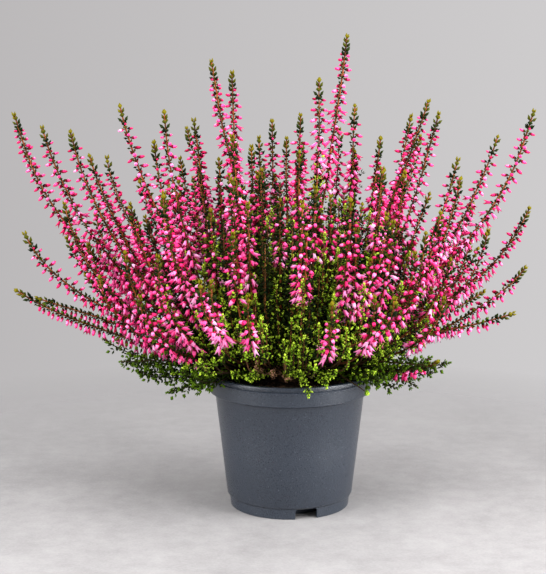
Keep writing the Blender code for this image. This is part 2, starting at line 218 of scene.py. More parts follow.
def layFloor(plan):
    shape = bmesh.new()
    bmesh.ops.create_circle(shape, cap_ends=True, segments=plan["floorSides"],
                            radius=plan["floorRadius"])
    floor = addObject("floor", meshOf("floor", shape))
    finish = Finish("paleFloor", {"Roughness": plan["floorRoughness"]})
    place = finish.place()
    clouds, mottle, grain = (finish.mottled(place, *plan[key])
                             for key in ("clouds", "mottle", "grain"))
    share = clouds * (1 - plan["floorMottle"]) + mottle * plan["floorMottle"]
    share += (grain - 0.5) * plan["floorGrain"] * 2
    base = finish.blendColours(share, plan["floorColour"], plan["floorPaler"])
    # painted shade: the floor darkens towards the back
    back = finish.between(finish.part(place, "Y"), *plan["farFrom"]) * plan["farShadeShare"]
    finish.drive("Base Color", finish.blendColours(back, base, plan["floorFarShade"]))
    away = finish.node("ShaderNodeVectorMath", {"operation": "LENGTH"}, {0: place}, "Value")
    finish.drive("Alpha", 1 - finish.between(away, *plan["fade"]))
    floor.data.materials.append(finish.material)


def hangLights(plan):
    sky = Finish("studio", {"Color": [plan["fill"]] * 3}, bpy.data.worlds, "Background")
    scene.world = sky.material
    way = sky.node("ShaderNodeTexCoord", {}, {}, "Generated")
    # painted light on the backdrop: darker on the left, lighter on the right
    across = sky.between(sky.part(way, "X"), *plan["backdropWidth"])
    wall = sky.node("ShaderNodeBackground", {},
                    {"Color": sky.blendColours(across, *plan["backdrop"])})
    seen = sky.node("ShaderNodeLightPath", {}, {}, "Is Camera Ray")
    either = sky.node("ShaderNodeMixShader", {},
                      {0: seen, 1: Value(sky, sky.shader.outputs[0]), 2: wall})
    sky.feed(sky.tree.nodes["World Output"].inputs["Surface"], either)
    for name, (place, aim, size, watts) in plan["boxes"].items():
        data = bpy.data.lights.new(name, "AREA")
        data.shape = "RECTANGLE"
        data.size, data.size_y = size
        data.energy = watts
        lamp = addObject(name, data)
        lamp.location = place
        lamp.rotation_euler = (Vector(aim) - Vector(place)).to_track_quat("-Z", "Y").to_euler()
    scene.view_settings.view_transform = "Standard"


layFloor(studioPlan)
hangLights(studioPlan)
print("studio ready")


# Meshes

def meshObject(name, shape, finish, slot, *nodes):
    return dress(name, meshOf(name, shape), [finish], slot, *nodes)


def dress(name, mesh, finishes, slot, *nodes):
    made = addObject(name, mesh)
    mesh.materials.clear()
    for finish in finishes:
        mesh.materials.append(finish.material)
    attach(made, "root")
    if nodes:
        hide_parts(*nodes)
    return made


def turnedShape(profile, steps):        # a profile of (radius, height) turned round Z
    shape = bmesh.new()
    verts = [shape.verts.new((radius, 0, height)) for radius, height in profile]
    edges = [shape.edges.new(pair) for pair in zip(verts, verts[1:])]
    bmesh.ops.spin(shape, geom=verts + edges, cent=(0, 0, 0), axis=(0, 0, 1),
                   angle=math.tau, steps=steps, use_merge=True, use_duplicate=False)
    bmesh.ops.remove_doubles(shape, verts=shape.verts, dist=0.000005)
    bmesh.ops.recalc_face_normals(shape, faces=shape.faces)
    return shape


def arc(centre, radius, start, end, steps):
    angles = [math.radians(mix((start, end), k / steps)) for k in range(steps + 1)]
    return [(centre[0] + radius * math.cos(a), centre[1] + radius * math.sin(a))
            for a in angles]


def applied(source):                    # the object's mesh with its modifiers worked in
    graph = bpy.context.evaluated_depsgraph_get()
    return bpy.data.meshes.new_from_object(source.evaluated_get(graph))


# Pot

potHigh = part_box("pot")[1]
potPlan = {
    "rim": potHigh.x + 0.0014, "top": potHigh.z,
    "lip": 0.0027, "lipOverhang": 0.0008, "lipRound": 0.0007, "groove": 0.0006,
    "bandFoot": (0.0595, 0.0870), "undercut": 0.0014, "chamfer": (0.0551, 0.0852),
    "bodyFoot": (0.0465, 0.0092), "step": (0.0448, 0.0078), "foot": 0.0439,
    "wall": 0.0016, "footWall": 0.0026, "pad": 0.0300, "floor": 0.0024, "channel": 0.0084,
    "fillet": 0.0004, "steps": 160, "sharpAngle": 35,
    "notches": 3, "notchTurn": 285.6, "notchSize": (0.0165, 0.0079), "notchCorner": 0.0022,
    "dark": (0.008, 0.012, 0.021), "light": (0.032, 0.041, 0.057),
    "speck": (0.220, 0.250, 0.290), "specked": 0.45,
    "grain": (1300, 2, 0.6, 0.32, 0.68), "specks": (1000, 1, 0.4, 0.70, 0.80),
    "clouds": (22, 4, 0.55), "cloudy": 0.20, "relief": (0.00016, 0.5),
    "roughness": 0.22, "roughClouds": 0.08, "roughGrain": 0.10,
    "polished": (0.0958, 0.0975), "polish": 0.14,   # the heights from which the lip is smoother
    "ior": 1.55,
}


def potFinish(plan):
    finish = Finish("potPlastic", {"IOR": plan["ior"]})
    place = finish.place()
    grain = finish.mottled(place, *plan["grain"])
    specks = finish.mottled(place, *plan["specks"])
    clouds = finish.noise(place, *plan["clouds"])
    share = grain * (1 - plan["cloudy"]) + clouds * plan["cloudy"]
    base = finish.blendColours(share, plan["dark"], plan["light"])
    finish.drive("Base Color", finish.blendColours(specks * plan["specked"], base, plan["speck"]))
    polish = finish.between(finish.part(place, "Z"), *plan["polished"])
    finish.drive("Roughness", plan["roughness"] + clouds * plan["roughClouds"]
                 + grain * plan["roughGrain"] - polish * plan["polish"])
    finish.bump(grain, *plan["relief"])
    return finish


def potOutline(plan):
    rim, top, soft, fillet = (plan[key] for key in ("rim", "top", "lipRound", "fillet"))
    foot, wall, floor, channel, pad = (plan[key] for key in
                                       ("foot", "wall", "floor", "channel", "pad"))
    bandRadius, bandFoot = plan["bandFoot"]
    chamferRadius, chamferFoot = plan["chamfer"]
    bodyFoot, stepTop = plan["bodyFoot"]
    step, stepFoot = plan["step"]
    inner, neck, lipFoot = bandRadius - wall, rim - plan["lipOverhang"], top - plan["lip"]
    groove, undercut = neck - plan["groove"], bandRadius - plan["undercut"]
    return [
        (0, floor),
        (pad - floor * 0.5, floor),
        (pad, channel + floor),
        (bodyFoot - wall - fillet, channel + floor),
        (chamferRadius - wall, chamferFoot),
        (inner - fillet, lipFoot),
        *arc((inner + soft, top - soft), soft, 180, 90, 4),
        *arc((rim - soft, top - soft), soft, 90, 0, 6),
        (rim, lipFoot + fillet),
        (rim - fillet, lipFoot),
        (groove, lipFoot - fillet * 0.4),
        (groove, lipFoot - fillet * 2),
        (neck, lipFoot - fillet * 3.5),
        (bandRadius + fillet * 0.3, bandFoot + fillet),
        (bandRadius - fillet, bandFoot),
        (undercut, bandFoot + fillet * 0.4),
        (undercut - fillet, bandFoot - fillet),
        (chamferRadius + fillet, chamferFoot + fillet),
        (chamferRadius, chamferFoot - fillet),
        (mix((bodyFoot, chamferRadius), 0.5), mix((stepTop, chamferFoot), 0.5)),
        (bodyFoot, stepTop + fillet),
        (bodyFoot - fillet * 0.6, stepTop),
        (step + fillet, stepFoot + fillet * 0.6),
        (step, stepFoot),
        (foot + fillet * 0.2, fillet),
        (foot - fillet, 0),
        (foot - plan["footWall"], 0),
        (foot - plan["footWall"], channel),
        (pad + floor * 0.5, channel),
        (pad, 0),
        (0, 0),
    ]


def notchCutter(plan, turn):
    width, height = plan["notchSize"]
    shape = bmesh.new()
    bmesh.ops.create_cube(shape, size=1)
    bmesh.ops.scale(shape, vec=(plan["footWall"] * 3, width, height * 2), verts=shape.verts)
    upper = [edge for edge in shape.edges if all(v.co.z > 0 for v in edge.verts)
             and abs(edge.verts[0].co.y - edge.verts[1].co.y) < width * 0.5]
    bmesh.ops.bevel(shape, geom=upper, offset=plan["notchCorner"], segments=6, profile=0.5,
                    affect="EDGES", material=-1)
    bmesh.ops.translate(shape, vec=(plan["foot"] - plan["footWall"] * 0.5, 0, 0),
                        verts=shape.verts)
    bmesh.ops.rotate(shape, cent=(0, 0, 0), matrix=Matrix.Rotation(turn, 3, "Z"),
                     verts=shape.verts)
    return addObject("notchCutter", meshOf("notchCutter", shape))


def makePot(plan):
    pot = meshObject("nurseryPot", turnedShape(potOutline(plan), plan["steps"]),
                     potFinish(plan), "pot_plastic", "pot")
    cutters = []
    for k in range(plan["notches"]):
        cutters.append(notchCutter(plan, math.radians(plan["notchTurn"])
                                   + math.tau * k / plan["notches"]))
        cut = pot.modifiers.new("notch", "BOOLEAN")
        cut.operation = "DIFFERENCE"
        cut.object = cutters[-1]
    pot.data = applied(pot)
    pot.modifiers.clear()
    for cutter in cutters:
        bpy.data.objects.remove(cutter)
    pot.data.shade_smooth()
    pot.data.set_sharp_from_angle(angle=math.radians(plan["sharpAngle"]))


makePot(potPlan)
print("pot done")


# Many small things: a pattern is a small mesh as arrays, stamped wherever its heap says

def pattern(shape):
    bmesh.ops.triangulate(shape, faces=shape.faces)
    bmesh.ops.recalc_face_normals(shape, faces=shape.faces)
    shape.verts.index_update()
    corners = np.array([tuple(vert.co) for vert in shape.verts])
    faces = np.array([[vert.index for vert in face.verts] for face in shape.faces])
    shades = np.array([face.material_index for face in shape.faces])
    shape.free()
    return corners, faces, shades


class Heap:
    def __init__(self):
        self.rows = []

    def add(self, place, out, face, size):
        self.rows.append((*place, *out, *face, *size))

    def frames(self):                   # each row as a turn, a size and a place
        place, out, face, size = np.split(np.array(self.rows), 4, axis=1)
        side = np.cross(out, face)
        side /= np.linalg.norm(side, axis=1, keepdims=True) + 1e-12
        out = out / np.linalg.norm(out, axis=1, keepdims=True)
        across = np.cross(out, side)
        turns = np.stack((side, across, out), axis=2) * size[:, None, :]
        return turns, place


def stamp(name, heap, shape, finishes, slot, *nodes):
    corners, faces, shades = shape
    turns, places = heap.frames()
    most = stampPlan["mostTriangles"] // len(faces)
    parts = math.ceil(len(places) / most)
    for k in range(parts):
        picked = slice(k * len(places) // parts, (k + 1) * len(places) // parts)
        points = np.einsum("nij,vj->nvi", turns[picked], corners) + places[picked][:, None]
        count = len(points)
        steps = np.arange(count)[:, None, None] * len(corners)
        indices = (faces[None] + steps).reshape(-1)
        mesh = bpy.data.meshes.new(name)
        mesh.vertices.add(count * len(corners))
        mesh.vertices.foreach_set("co", points.astype(np.float32).ravel())
        mesh.loops.add(len(indices))
        mesh.loops.foreach_set("vertex_index", indices.astype(np.int32))
        mesh.polygons.add(count * len(faces))
        mesh.polygons.foreach_set("loop_start", np.arange(0, len(indices), 3, dtype=np.int32))
        mesh.update(calc_edges=True)
        mesh.shade_smooth()
        made = dress(f"{name}_{k + 1}", mesh, finishes, slot, *nodes)
        mesh.polygons.foreach_set("material_index", np.tile(shades, count).astype(np.int32))
        tally[made.name] = count * len(faces)


stampPlan = {"mostTriangles": 190000}
tally = {}                              # triangles of each stamped or drawn piece


def tubes(name, runs, sides, finishes, slot, *nodes):       # limbs along runs of points
    curve = bpy.data.curves.new(name, "CURVE")
    curve.dimensions = "3D"
    curve.twist_mode = "MINIMUM"
    curve.use_fill_caps = True
    curve.bevel_depth = 1
    curve.bevel_resolution = sides // 2 - 2
    for run, radii in runs:
        spline = curve.splines.new("POLY")
        spline.points.add(len(run) - 1)
        for point, place, radius in zip(spline.points, run, radii):
            point.co = (*place, 1)
            point.radius = radius
    source = addObject(name + "Curve", curve)
    mesh = applied(source)
    bpy.data.objects.remove(source)
    shape = bmesh.new()
    shape.from_mesh(mesh)
    bmesh.ops.remove_doubles(shape, verts=shape.verts, dist=0.000002)
    bmesh.ops.recalc_face_normals(shape, faces=shape.faces)
    shape.to_mesh(mesh)
    shape.free()
    mesh.shade_smooth()
    made = dress(name, mesh, finishes, slot, *nodes)
    tally[name] = sum(len(face.vertices) - 2 for face in mesh.polygons)
    return made


def roughen(mesh, amount, scale, stretch=1.0):      # moves points along their normals
    moves = []
    for vert in mesh.vertices:
        spot = Vector((vert.co.x, vert.co.y, vert.co.z * stretch)) * scale
        moves.append(vert.normal * (noise.fractal(spot, 1.0, 2.0, 3) * amount))
    for vert, move in zip(mesh.vertices, moves):
        vert.co += move
    mesh.update()


# Compost

compostPlan = {
    "top": 0.0940, "drop": 0.0022, "rings": 34, "steps": 120,
    "lump": 0.0012, "lumpScale": 150, "grit": 0.0006, "gritScale": 520,
    "edge": 0.0557, "waist": (0.0529, 0.0852), "foot": (0.0433, 0.0111),
    "seed": 5,
    "crumbs": 1100, "crumbSize": (0.0007, 0.0024), "crumbStretch": (0.55, 1.0),
    "crumbArea": (0.06, 1), "crumbReach": 0.98, "crumbRise": 0.2, "crumbDents": (0.75, 1.2),
    "rimCrumbs": 12, "rimRing": (0.0575, 0.0592), "rimSize": 0.6,
    "fibres": 150, "fibreLength": (0.004, 0.013), "fibreRadius": 0.00016, "fibrePoints": 6,
    "fibreArea": (0.1, 1), "fibreReach": 0.93, "fibreEdge": 0.96, "fibreBend": 0.5,
    "fibreLift": (0.0003, 0.0006),      # how high its ends lie, and how far its middle arches
    "fibreThick": (0.6, 1.5), "fibreStraight": 0.3,     # those that curl up more are left out
    "shine": 0.25, "noises": ((260, 4, 0.6), (1400, 3, 0.6)), "contrast": (0.42, 0.66),
    "raised": 1, "roughness": 0.80, "rougher": 0.18, "relief": (0.0004, 0.8),
    "dark": (0.010, 0.006, 0.004), "light": (0.060, 0.030, 0.014),
    "fibreColour": (0.150, 0.075, 0.032), "fibrePatches": (300, 2), "fibreRoughness": 0.8,
}


def compostHeight(x, y):
    plan = compostPlan
    out = math.hypot(x, y) / plan["edge"]
    spot = Vector((x, y, 0))
    lumps = noise.fractal(spot * plan["lumpScale"], 1.0, 2.0, 3) * plan["lump"]
    grit = noise.noise(spot * plan["gritScale"]) * plan["grit"]
    return plan["top"] - plan["drop"] * out * out + lumps + grit


def crumblyFinish(name, plan):          # two noises between two colours, and one of them raised
    finish = Finish(name, {"Specular IOR Level": plan["shine"]})
    place = finish.place()
    noises = [finish.noise(place, *row) for row in plan["noises"]]
    share = finish.between(noises[0] * 0.6 + noises[1] * 0.4, *plan["contrast"])
    finish.drive("Base Color", finish.blendColours(share, plan["dark"], plan["light"]))
    raised = noises[plan["raised"]]
    finish.drive("Roughness", plan["roughness"] + raised * plan["rougher"])
    finish.bump(raised, *plan["relief"])
    return finish


def makeFill(plan, finish):
    rings = [(plan["edge"] * k / plan["rings"], plan["top"]) for k in range(plan["rings"] + 1)]
    shape = turnedShape([*rings, plan["waist"], plan["foot"], (0, plan["foot"][1])],
                        plan["steps"])
    for vert in shape.verts:
        if vert.co.z > plan["top"] - 0.0001:
            vert.co.z = compostHeight(vert.co.x, vert.co.y)
    made = meshObject("compostFill", shape, finish, "compost", "compost")
    made.data.shade_smooth()


def scatterCrumbs(plan, finish, chance):
    crumbs = Heap()
    for k in range(plan["crumbs"] + plan["rimCrumbs"]):
        onRim = k >= plan["crumbs"]
        out = mix(plan["rimRing"], chance.random()) if onRim else \
            plan["edge"] * plan["crumbReach"] * math.sqrt(mix(plan["crumbArea"], chance.random()))
        turn = chance.uniform(0, math.tau)
        x, y = out * math.cos(turn), out * math.sin(turn)
        size = mix(plan["crumbSize"], chance.random() ** 3) * (plan["rimSize"] if onRim else 1)
        height = potHigh.z if onRim else compostHeight(x, y)
        ways = [Vector([chance.gauss(0, 1) for _ in range(3)]) for _ in range(2)]
        stretch = [size * chance.uniform(*plan["crumbStretch"]) for _ in range(3)]
        crumbs.add((x, y, height + size * plan["crumbRise"]), *ways, stretch)
    lump = bmesh.new()
    bmesh.ops.create_icosphere(lump, subdivisions=1, radius=0.5)
    for vert in lump.verts:
        vert.co *= chance.uniform(*plan["crumbDents"])
    stamp("compostCrumbs", crumbs, pattern(lump), [finish], "compost")


def scatterFibres(plan, chance):
    runs = []
    steps = plan["fibrePoints"] - 1
    low, arch = plan["fibreLift"]
    for _ in range(plan["fibres"]):
        turn = chance.uniform(0, math.tau)
        out = plan["edge"] * plan["fibreReach"] * math.sqrt(
            mix(plan["fibreArea"], chance.random()))
        place = Vector((out * math.cos(turn), out * math.sin(turn), 0))
        heading = chance.uniform(0, math.tau)
        length = mix(plan["fibreLength"], chance.random() ** 2)
        run = []
        for k in range(steps + 1):
            run.append(Vector((place.x, place.y, compostHeight(place.x, place.y)
                               + low + arch * math.sin(math.pi * k / steps))))
            heading += chance.uniform(-1, 1) * plan["fibreBend"]
            step = place + Vector((math.cos(heading), math.sin(heading), 0)) * (length / steps)
            if step.xy.length < plan["edge"] * plan["fibreEdge"]:
                place = step
        if (run[-1] - run[0]).length > length * plan["fibreStraight"]:
            radius = plan["fibreRadius"] * chance.uniform(*plan["fibreThick"])
            runs.append((run, [radius] * (steps + 1)))
    finish = Finish("peatFibre", {"Roughness": plan["fibreRoughness"]})
    shade = finish.noise(finish.place(), *plan["fibrePatches"])
    darker = [c * 0.5 for c in plan["fibreColour"]]
    finish.drive("Base Color", finish.blendColours(shade, darker, plan["fibreColour"]))
    tubes("compostFibres", runs, 4, [finish], "compost")


def makeCompost(plan):
    chance = random.Random(plan["seed"])
    peat = crumblyFinish("peat", plan)
    makeFill(plan, peat)
    scatterCrumbs(plan, peat, chance)
    scatterFibres(plan, chance)


makeCompost(compostPlan)
print("compost done")


# Shoots, by the rule that the solid masses grow by: a shoot leaves the stem's head low and
# turns upwards, side shoots leave near its foot, and each mass keeps to its own space

shootPlan = {
    "headRadius": 0.0130,
    "touch": 0.0003, "room": 0.0008, "rimRoom": 0.0018, "pastTip": 0.015,
    "boughRadius": (0.00130, 0.00100), "boughEnd": 0.25, "boughPoints": 4,
    "points": 5, "tipLength": 0.0110, "tipWidest": 0.45, "free": 0.15, "tests": 12,
    "forks": (0.10, 0.24), "spread": (6.0, 14.0), "reach": (0.84, 0.97),
    "greenForks": (0.32, 0.46), "greenSpread": (14.0, 24.0), "greenReach": (0.76, 0.95),
    "along": 0.42, "across": 0.10, "tries": 24, "axisSteps": 32,
}
head = Vector((0, 0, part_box("stem")[1].z - shootPlan["headRadius"]))

# azimuth (0 is right, 270 the front), lean from upright, reach, sag, seed
floweringMasses = {
    "left_high": (178, 49, 0.265, 0.44, 16),
    "left_low": (190, 64, 0.212, 0.24, 56),
    "left_back": (150, 50, 0.212, 0.28, 1),
    "left_upper": (192, 34, 0.219, 0.26, 116),
    "middle_left": (180, 15, 0.220, 0.10, 65),
    "middle_right": (352, 10, 0.233, 0.06, 60),
    "right_upper": (8, 29, 0.209, 0.20, 44),
    "right_high": (358, 44.5, 0.249, 0.36, 56),
    "right_middle": (8, 60, 0.207, 0.30, 97),
    "right_low": (350, 78, 0.165, 0.10, 72),
    "right_back": (42, 42, 0.205, 0.24, 3),
    "front_upper": (236, 24, 0.178, 0.16, 29),
    "front_left": (226, 45, 0.176, 0.22, 7),
    "front_left_low": (246, 63, 0.165, 0.16, 113),
    "front_middle": (274, 40, 0.160, 0.20, 54),
    "front_right": (306, 44, 0.157, 0.22, 37),
    "front_right_low": (300, 66, 0.148, 0.14, 55),
    "back_left_upper": (143, 31, 0.188, 0.20, 2),
    "back_upper": (82, 19, 0.180, 0.14, 3),
    "back_left": (118, 60, 0.190, 0.24, 2),
    "back_right": (68, 61, 0.188, 0.24, 2),
}
greenMasses = {
    "left": (203, 88, 0.130, -0.02, 33),
    "front_left": (222, 88, 0.100, -0.05, 8),
    "front": (276, 92, 0.080, -0.10, 43),
    "right": (328, 88, 0.112, -0.05, 8),
    "back_right": (40, 87, 0.118, -0.05, 1),
    "back_left": (130, 87, 0.118, -0.05, 3),
}
masses = {"spikes_" + name: row for name, row in floweringMasses.items()}
spikeNodes = list(masses)
sprayNodes = ["sprays_" + name for name in greenMasses]
masses |= zip(sprayNodes, greenMasses.values())


def direction(azimuth, lean):
    azimuth, lean = math.radians(azimuth), math.radians(lean)
    return Vector((math.sin(lean) * math.cos(azimuth), math.sin(lean) * math.sin(azimuth),
                   math.cos(lean)))


def narrow(points, t, left):            # guide points drawn together until so many are left
    while len(points) > left:
        points = [here.lerp(there, t) for here, there in zip(points, points[1:])]
    return points


def bend(shoot, t):
    return narrow(shoot, t, 1)[0]


def bendAhead(shoot, t):
    here, there = narrow(shoot, t, 2)
    return (there - here).normalized()


def mainShoot(azimuth, lean, reach, sag):
    chord = direction(azimuth, lean)
    below = chord * chord.z - up
    return head, head + (chord * 0.5 + below * sag) * reach, head + chord * reach


def ring(ahead, turn):                  # a way straight out of a shoot, that far round it
    return Quaternion(ahead, turn) @ ahead.orthogonal().normalized()


def sideShoot(foot, ahead, main, turn, spread, share):      # leaves straight ahead, then bends
    start, _, end = main
    chord = end - start
    across = Quaternion(chord.normalized(), turn) @ chord.orthogonal().normalized()
    tip = start + (Quaternion(across, spread) @ chord) * share
    way = tip - foot
    plan = shootPlan
    return foot, foot + ahead * (way.length * plan["along"]) + way * plan["across"], tip


def stretchAt(stops, at):               # which stretch between stops that is, and the share of it
    k = min(bisect.bisect_left(stops, at, 1), len(stops) - 1)
    return k, (at - stops[k - 1]) / (stops[k] - stops[k - 1])


class Axis:                             # a mass's main shoot, read by distance from the head
    def __init__(self, shoot):
        steps = shootPlan["axisSteps"]
        self.points = [bend(shoot, k / steps) for k in range(steps + 1)]
        self.reaches = [(point - head).length for point in self.points]
        self.ahead = (self.points[-1] - self.points[-2]).normalized()

    def at(self, reach):
        past = reach - self.reaches[-1]
        if past >= 0:
            return self.points[-1] + self.ahead * past
        k, share = stretchAt(self.reaches, reach)
        return self.points[k - 1].lerp(self.points[k], share)


shoots = {name: mainShoot(*row[:4]) for name, row in masses.items()}
axes = {name: Axis(shoot) for name, shoot in shoots.items()}


def boughRun(name, points):
    start = shootPlan["headRadius"] + shootPlan["touch"]
    end = (bend(shoots[name], shootPlan["boughEnd"]) - head).length
    return [axes[name].at(mix((start, end), k / (points - 1))) for k in range(points)]


boughRuns = [boughRun(name, shootPlan["boughPoints"]) for name in spikeNodes]


def nearBough(point):                   # true within the room that each bough keeps
    for run in boughRuns:
        nearest = (1, 0)
        for k in range(len(run) - 1):
            piece = run[k + 1] - run[k]
            share = max(0, min(1, (point - run[k]).dot(piece) / piece.length_squared))
            gap = (run[k] + piece * share - point).length
            nearest = min(nearest, (gap, (k + share) / (len(run) - 1)))
        if nearest[0] < mix(shootPlan["boughRadius"], nearest[1]) + shootPlan["room"]:
            return True
    return False


def inSpace(name, point):
    reach = (point - head).length
    own = (point - axes[name].at(reach)).length + shootPlan["room"]
    for other, axis in axes.items():
        if other != name and reach < axis.reaches[-1] + shootPlan["pastTip"]:
            if own > (point - axis.at(reach)).length:
                return False
    out = point.xy.length
    overRim = point.z > potHigh.z + shootPlan["rimRoom"]
    return not nearBough(point) and (overRim or out > potPlan["rim"] + shootPlan["rimRoom"])


class Guide:                            # a shoot's straight pieces, as the solid masses have
    def __init__(self, shoot, first=0):
        plan = shootPlan
        tip = 1 - plan["tipLength"] / ((shoot[2] - shoot[0]).length * (1 - first))
        steps = plan["points"] - 1
        self.stops = [tip * k / steps for k in range(steps + 1)]
        self.stops += [mix((tip, 1), plan["tipWidest"]), 1]
        self.run = [bend(shoot, first + (1 - first) * stop) for stop in self.stops]

    def at(self, share):
        k, past = stretchAt(self.stops, share)
        ahead = self.run[k] - self.run[k - 1]
        return self.run[k - 1] + ahead * past, ahead.normalized()

    def fits(self, name):
        count = shootPlan["tests"]
        steps = [mix((shootPlan["free"], 1), k / count) for k in range(count + 1)]
        return all(inSpace(name, self.at(step)[0]) for step in steps)


def fork(name, guide, share, spreads, reaches, chance):
    foot, ahead = guide.at(share)
    for _ in range(shootPlan["tries"]):
        turn = chance.uniform(0, math.tau)
        spread = math.radians(chance.uniform(*spreads))
        reach = chance.uniform(*reaches)
        side = sideShoot(foot, ahead, shoots[name], turn, spread, reach)
        if Guide(side).fits(name):
            return side
    return None


def firstOf(name):                      # where a mass's main shoot starts, as a share of it
    start, middle, end = shoots[name]
    if name.startswith("spikes_"):
        return shootPlan["boughEnd"] + shootPlan["touch"] / (end - start).length
    return (shootPlan["headRadius"] + shootPlan["touch"] * 2) / (middle - start).length / 2


# Plant: what grows on the shoots

# Flower spikes that show in the photograph besides the masses' own: the pixel of each tip,
# and how far it stands behind the middle of the pot, in millimetres
seenTips = {
    "left": ((43, 129, -8), (71, 134, -20), (90, 157, -8), (65, 205, -25), (164, 115, -40),
             (19, 292, -25), (180, 161, 62), (154, 144, -35), (68, 239, 20), (98, 250, 45),
             (100, 280, -60), (125, 254, -75), (157, 258, -92), (164, 195, -72), (178, 196, -30),
             (199, 171, 40), (130, 205, -30), (140, 180, 50), (140, 298, -84), (96, 216, 10),
             (119, 222, 20), (88, 246, -10)),
    "middle": ((232, 75, 15), (320, 82, -20), (355, 108, 20), (194, 121, 20), (219, 161, 12),
               (251, 147, 75), (259, 139, 85), (272, 123, 30), (287, 140, 20), (303, 146, 80),
               (300, 154, -30), (321, 175, 82), (339, 131, 30), (211, 213, -62), (248, 205, -80),
               (315, 189, -62), (229, 176, -30), (243, 186, 30), (275, 178, 40), (212, 284, -112),
               (248, 298, -116), (333, 306, -114), (306, 236, -96), (280, 202, -60),
               (331, 198, -30), (262, 172, -10), (233, 236, -85)),
    "right": ((410, 117, 45), (497, 138, 25), (471, 206, 45), (355, 153, 20), (380, 140, 12),
              (384, 173, -30), (439, 115, 5), (406, 173, -25), (393, 200, 80), (458, 162, -15),
              (460, 181, -42), (345, 190, 40), (375, 298, -100), (443, 300, -62), (436, 362, -58),
              (440, 215, -45), (470, 245, 40), (425, 235, -70), (488, 232, -20), (357, 227, -80),
              (393, 224, -70), (370, 262, -60), (416, 255, -50), (450, 262, -30),
              (428, 196, 15), (525, 268, -8)),
}
# leafy sprigs, likewise
seenSprigs = {
    "dome": ((228, 275, -70), (238, 250, -45), (277, 287, -72), (291, 319, -80), (304, 336, -86),
             (262, 318, -80), (325, 256, -40), (333, 224, -20), (341, 236, -25), (322, 232, -20),
             (367, 263, -50), (215, 238, -40), (212, 215, -30), (352, 300, -60), (310, 300, -60),
             (345, 262, -40), (270, 250, -25), (262, 225, -10), (296, 246, -25), (222, 300, -70),
             (388, 322, -60), (398, 338, -60), (205, 260, -30), (286, 230, 10), (312, 222, 10),
             (238, 326, -80), (267, 330, -84), (283, 341, -84), (345, 341, -70), (366, 346, -64),
             (383, 330, -60), (203, 352, -62), (222, 358, -66), (324, 352, -74), (308, 350, -78),
             (257, 340, -80), (250, 315, -72), (216, 330, -66), (333, 330, -70), (268, 304, -66),
             (296, 284, -58), (282, 268, -40), (244, 288, -58)),
    "rim": ((308, 397, -76), (336, 371, -68), (327, 388, -68), (246, 379, -66), (232, 373, -64),
            (253, 371, -66), (300, 371, -70), (290, 362, -74), (374, 372, -60)),
    "left": ((104, 339, -30), (128, 363, -34), (167, 393, -46), (181, 372, -58),
             (196, 376, -62), (136, 371, -38)),
    "right": ((450, 364, -14), (431, 358, -30), (397, 389, -44), (388, 376, -52),
              (410, 352, -44), (436, 372, -20)),
    "dry": ((272, 371, -64), (287, 379, -66), (256, 362, -66)),
}
growthPlan = {
    "skyline": ((0, 320), (60, 262), (110, 200), (190, 165), (300, 160), (400, 165), (460, 215),
                (500, 262), (546, 320)),    # no other spike's tip shows above this line
    "aside": 150, "lowest": 300,            # nor below this pixel that far to a side
    "feet": (0.04, 0.12),           # where finer shoots leave a main one, as a share of it
    "outwards": (0.75, 0.62), "uneven": (0.85, 1.1),        # how a finer shoot runs out low,
    "farthest": (0.042, 0.052), "forward": -0.016,          # and how far, also to the front
    "low": 0.005, "rises": 0.04, "overRim": 0.007,          # how high above it, and above the rim
    # how far out and up its upper part's guide stands, for shoots that lean more and more
    "leaning": (0.30, 0.50, 0.60, 0.74), "out": (0.55, 0.86, 0.78, 0.42),
    "above": (0.34, 0.32, 0.36, 0.52), "frontOut": 0.085,   # all the way out that far in front
    "forkRoom": 0.038, "room": 0.021,       # the least way between two spikes' tips
    "moreSpikes": 6, "moreSpread": (4.0, 28.0), "moreReach": (0.56, 0.90), "behind": 0.005,
    "greenShoots": 8, "greenSpread": (2.0, 34.0), "greenReach": (0.060, 0.120),
    "lowSpread": (2.0, 34.0), "lowReach": (0.062, 0.092), "aboveRim": 0.003,
    "core": (60, (4, 46), (0.080, 0.150)),          # how many, their leans and their reaches
    "coreSpikes": (12, (4, 40), (0.150, 0.205)), "seedTurn": 2.39996,     # the golden angle
    "sag": {"left": 0.011, "right": 0.008},     # how far the low sprigs at the sides hang
    "bareSoil": ((214, 367, 352, 412), (336, 366, 366, 412)),   # pixels: left, top, right, foot
    "tries": 14, "inset": 0.004,
    "wander": 0.0011, "wanderScale": 26, "wanderSeed": 5,   # how far shoots stray from their line,
    "straight": 6,                                          # in full past a sixth of it
    "stem": ((0.00100, 0.00058), 24), "sprig": ((0.00064, 0.00036), 12),    # radii and steps
    "seed": 17, "greenSeed": 1000,
}
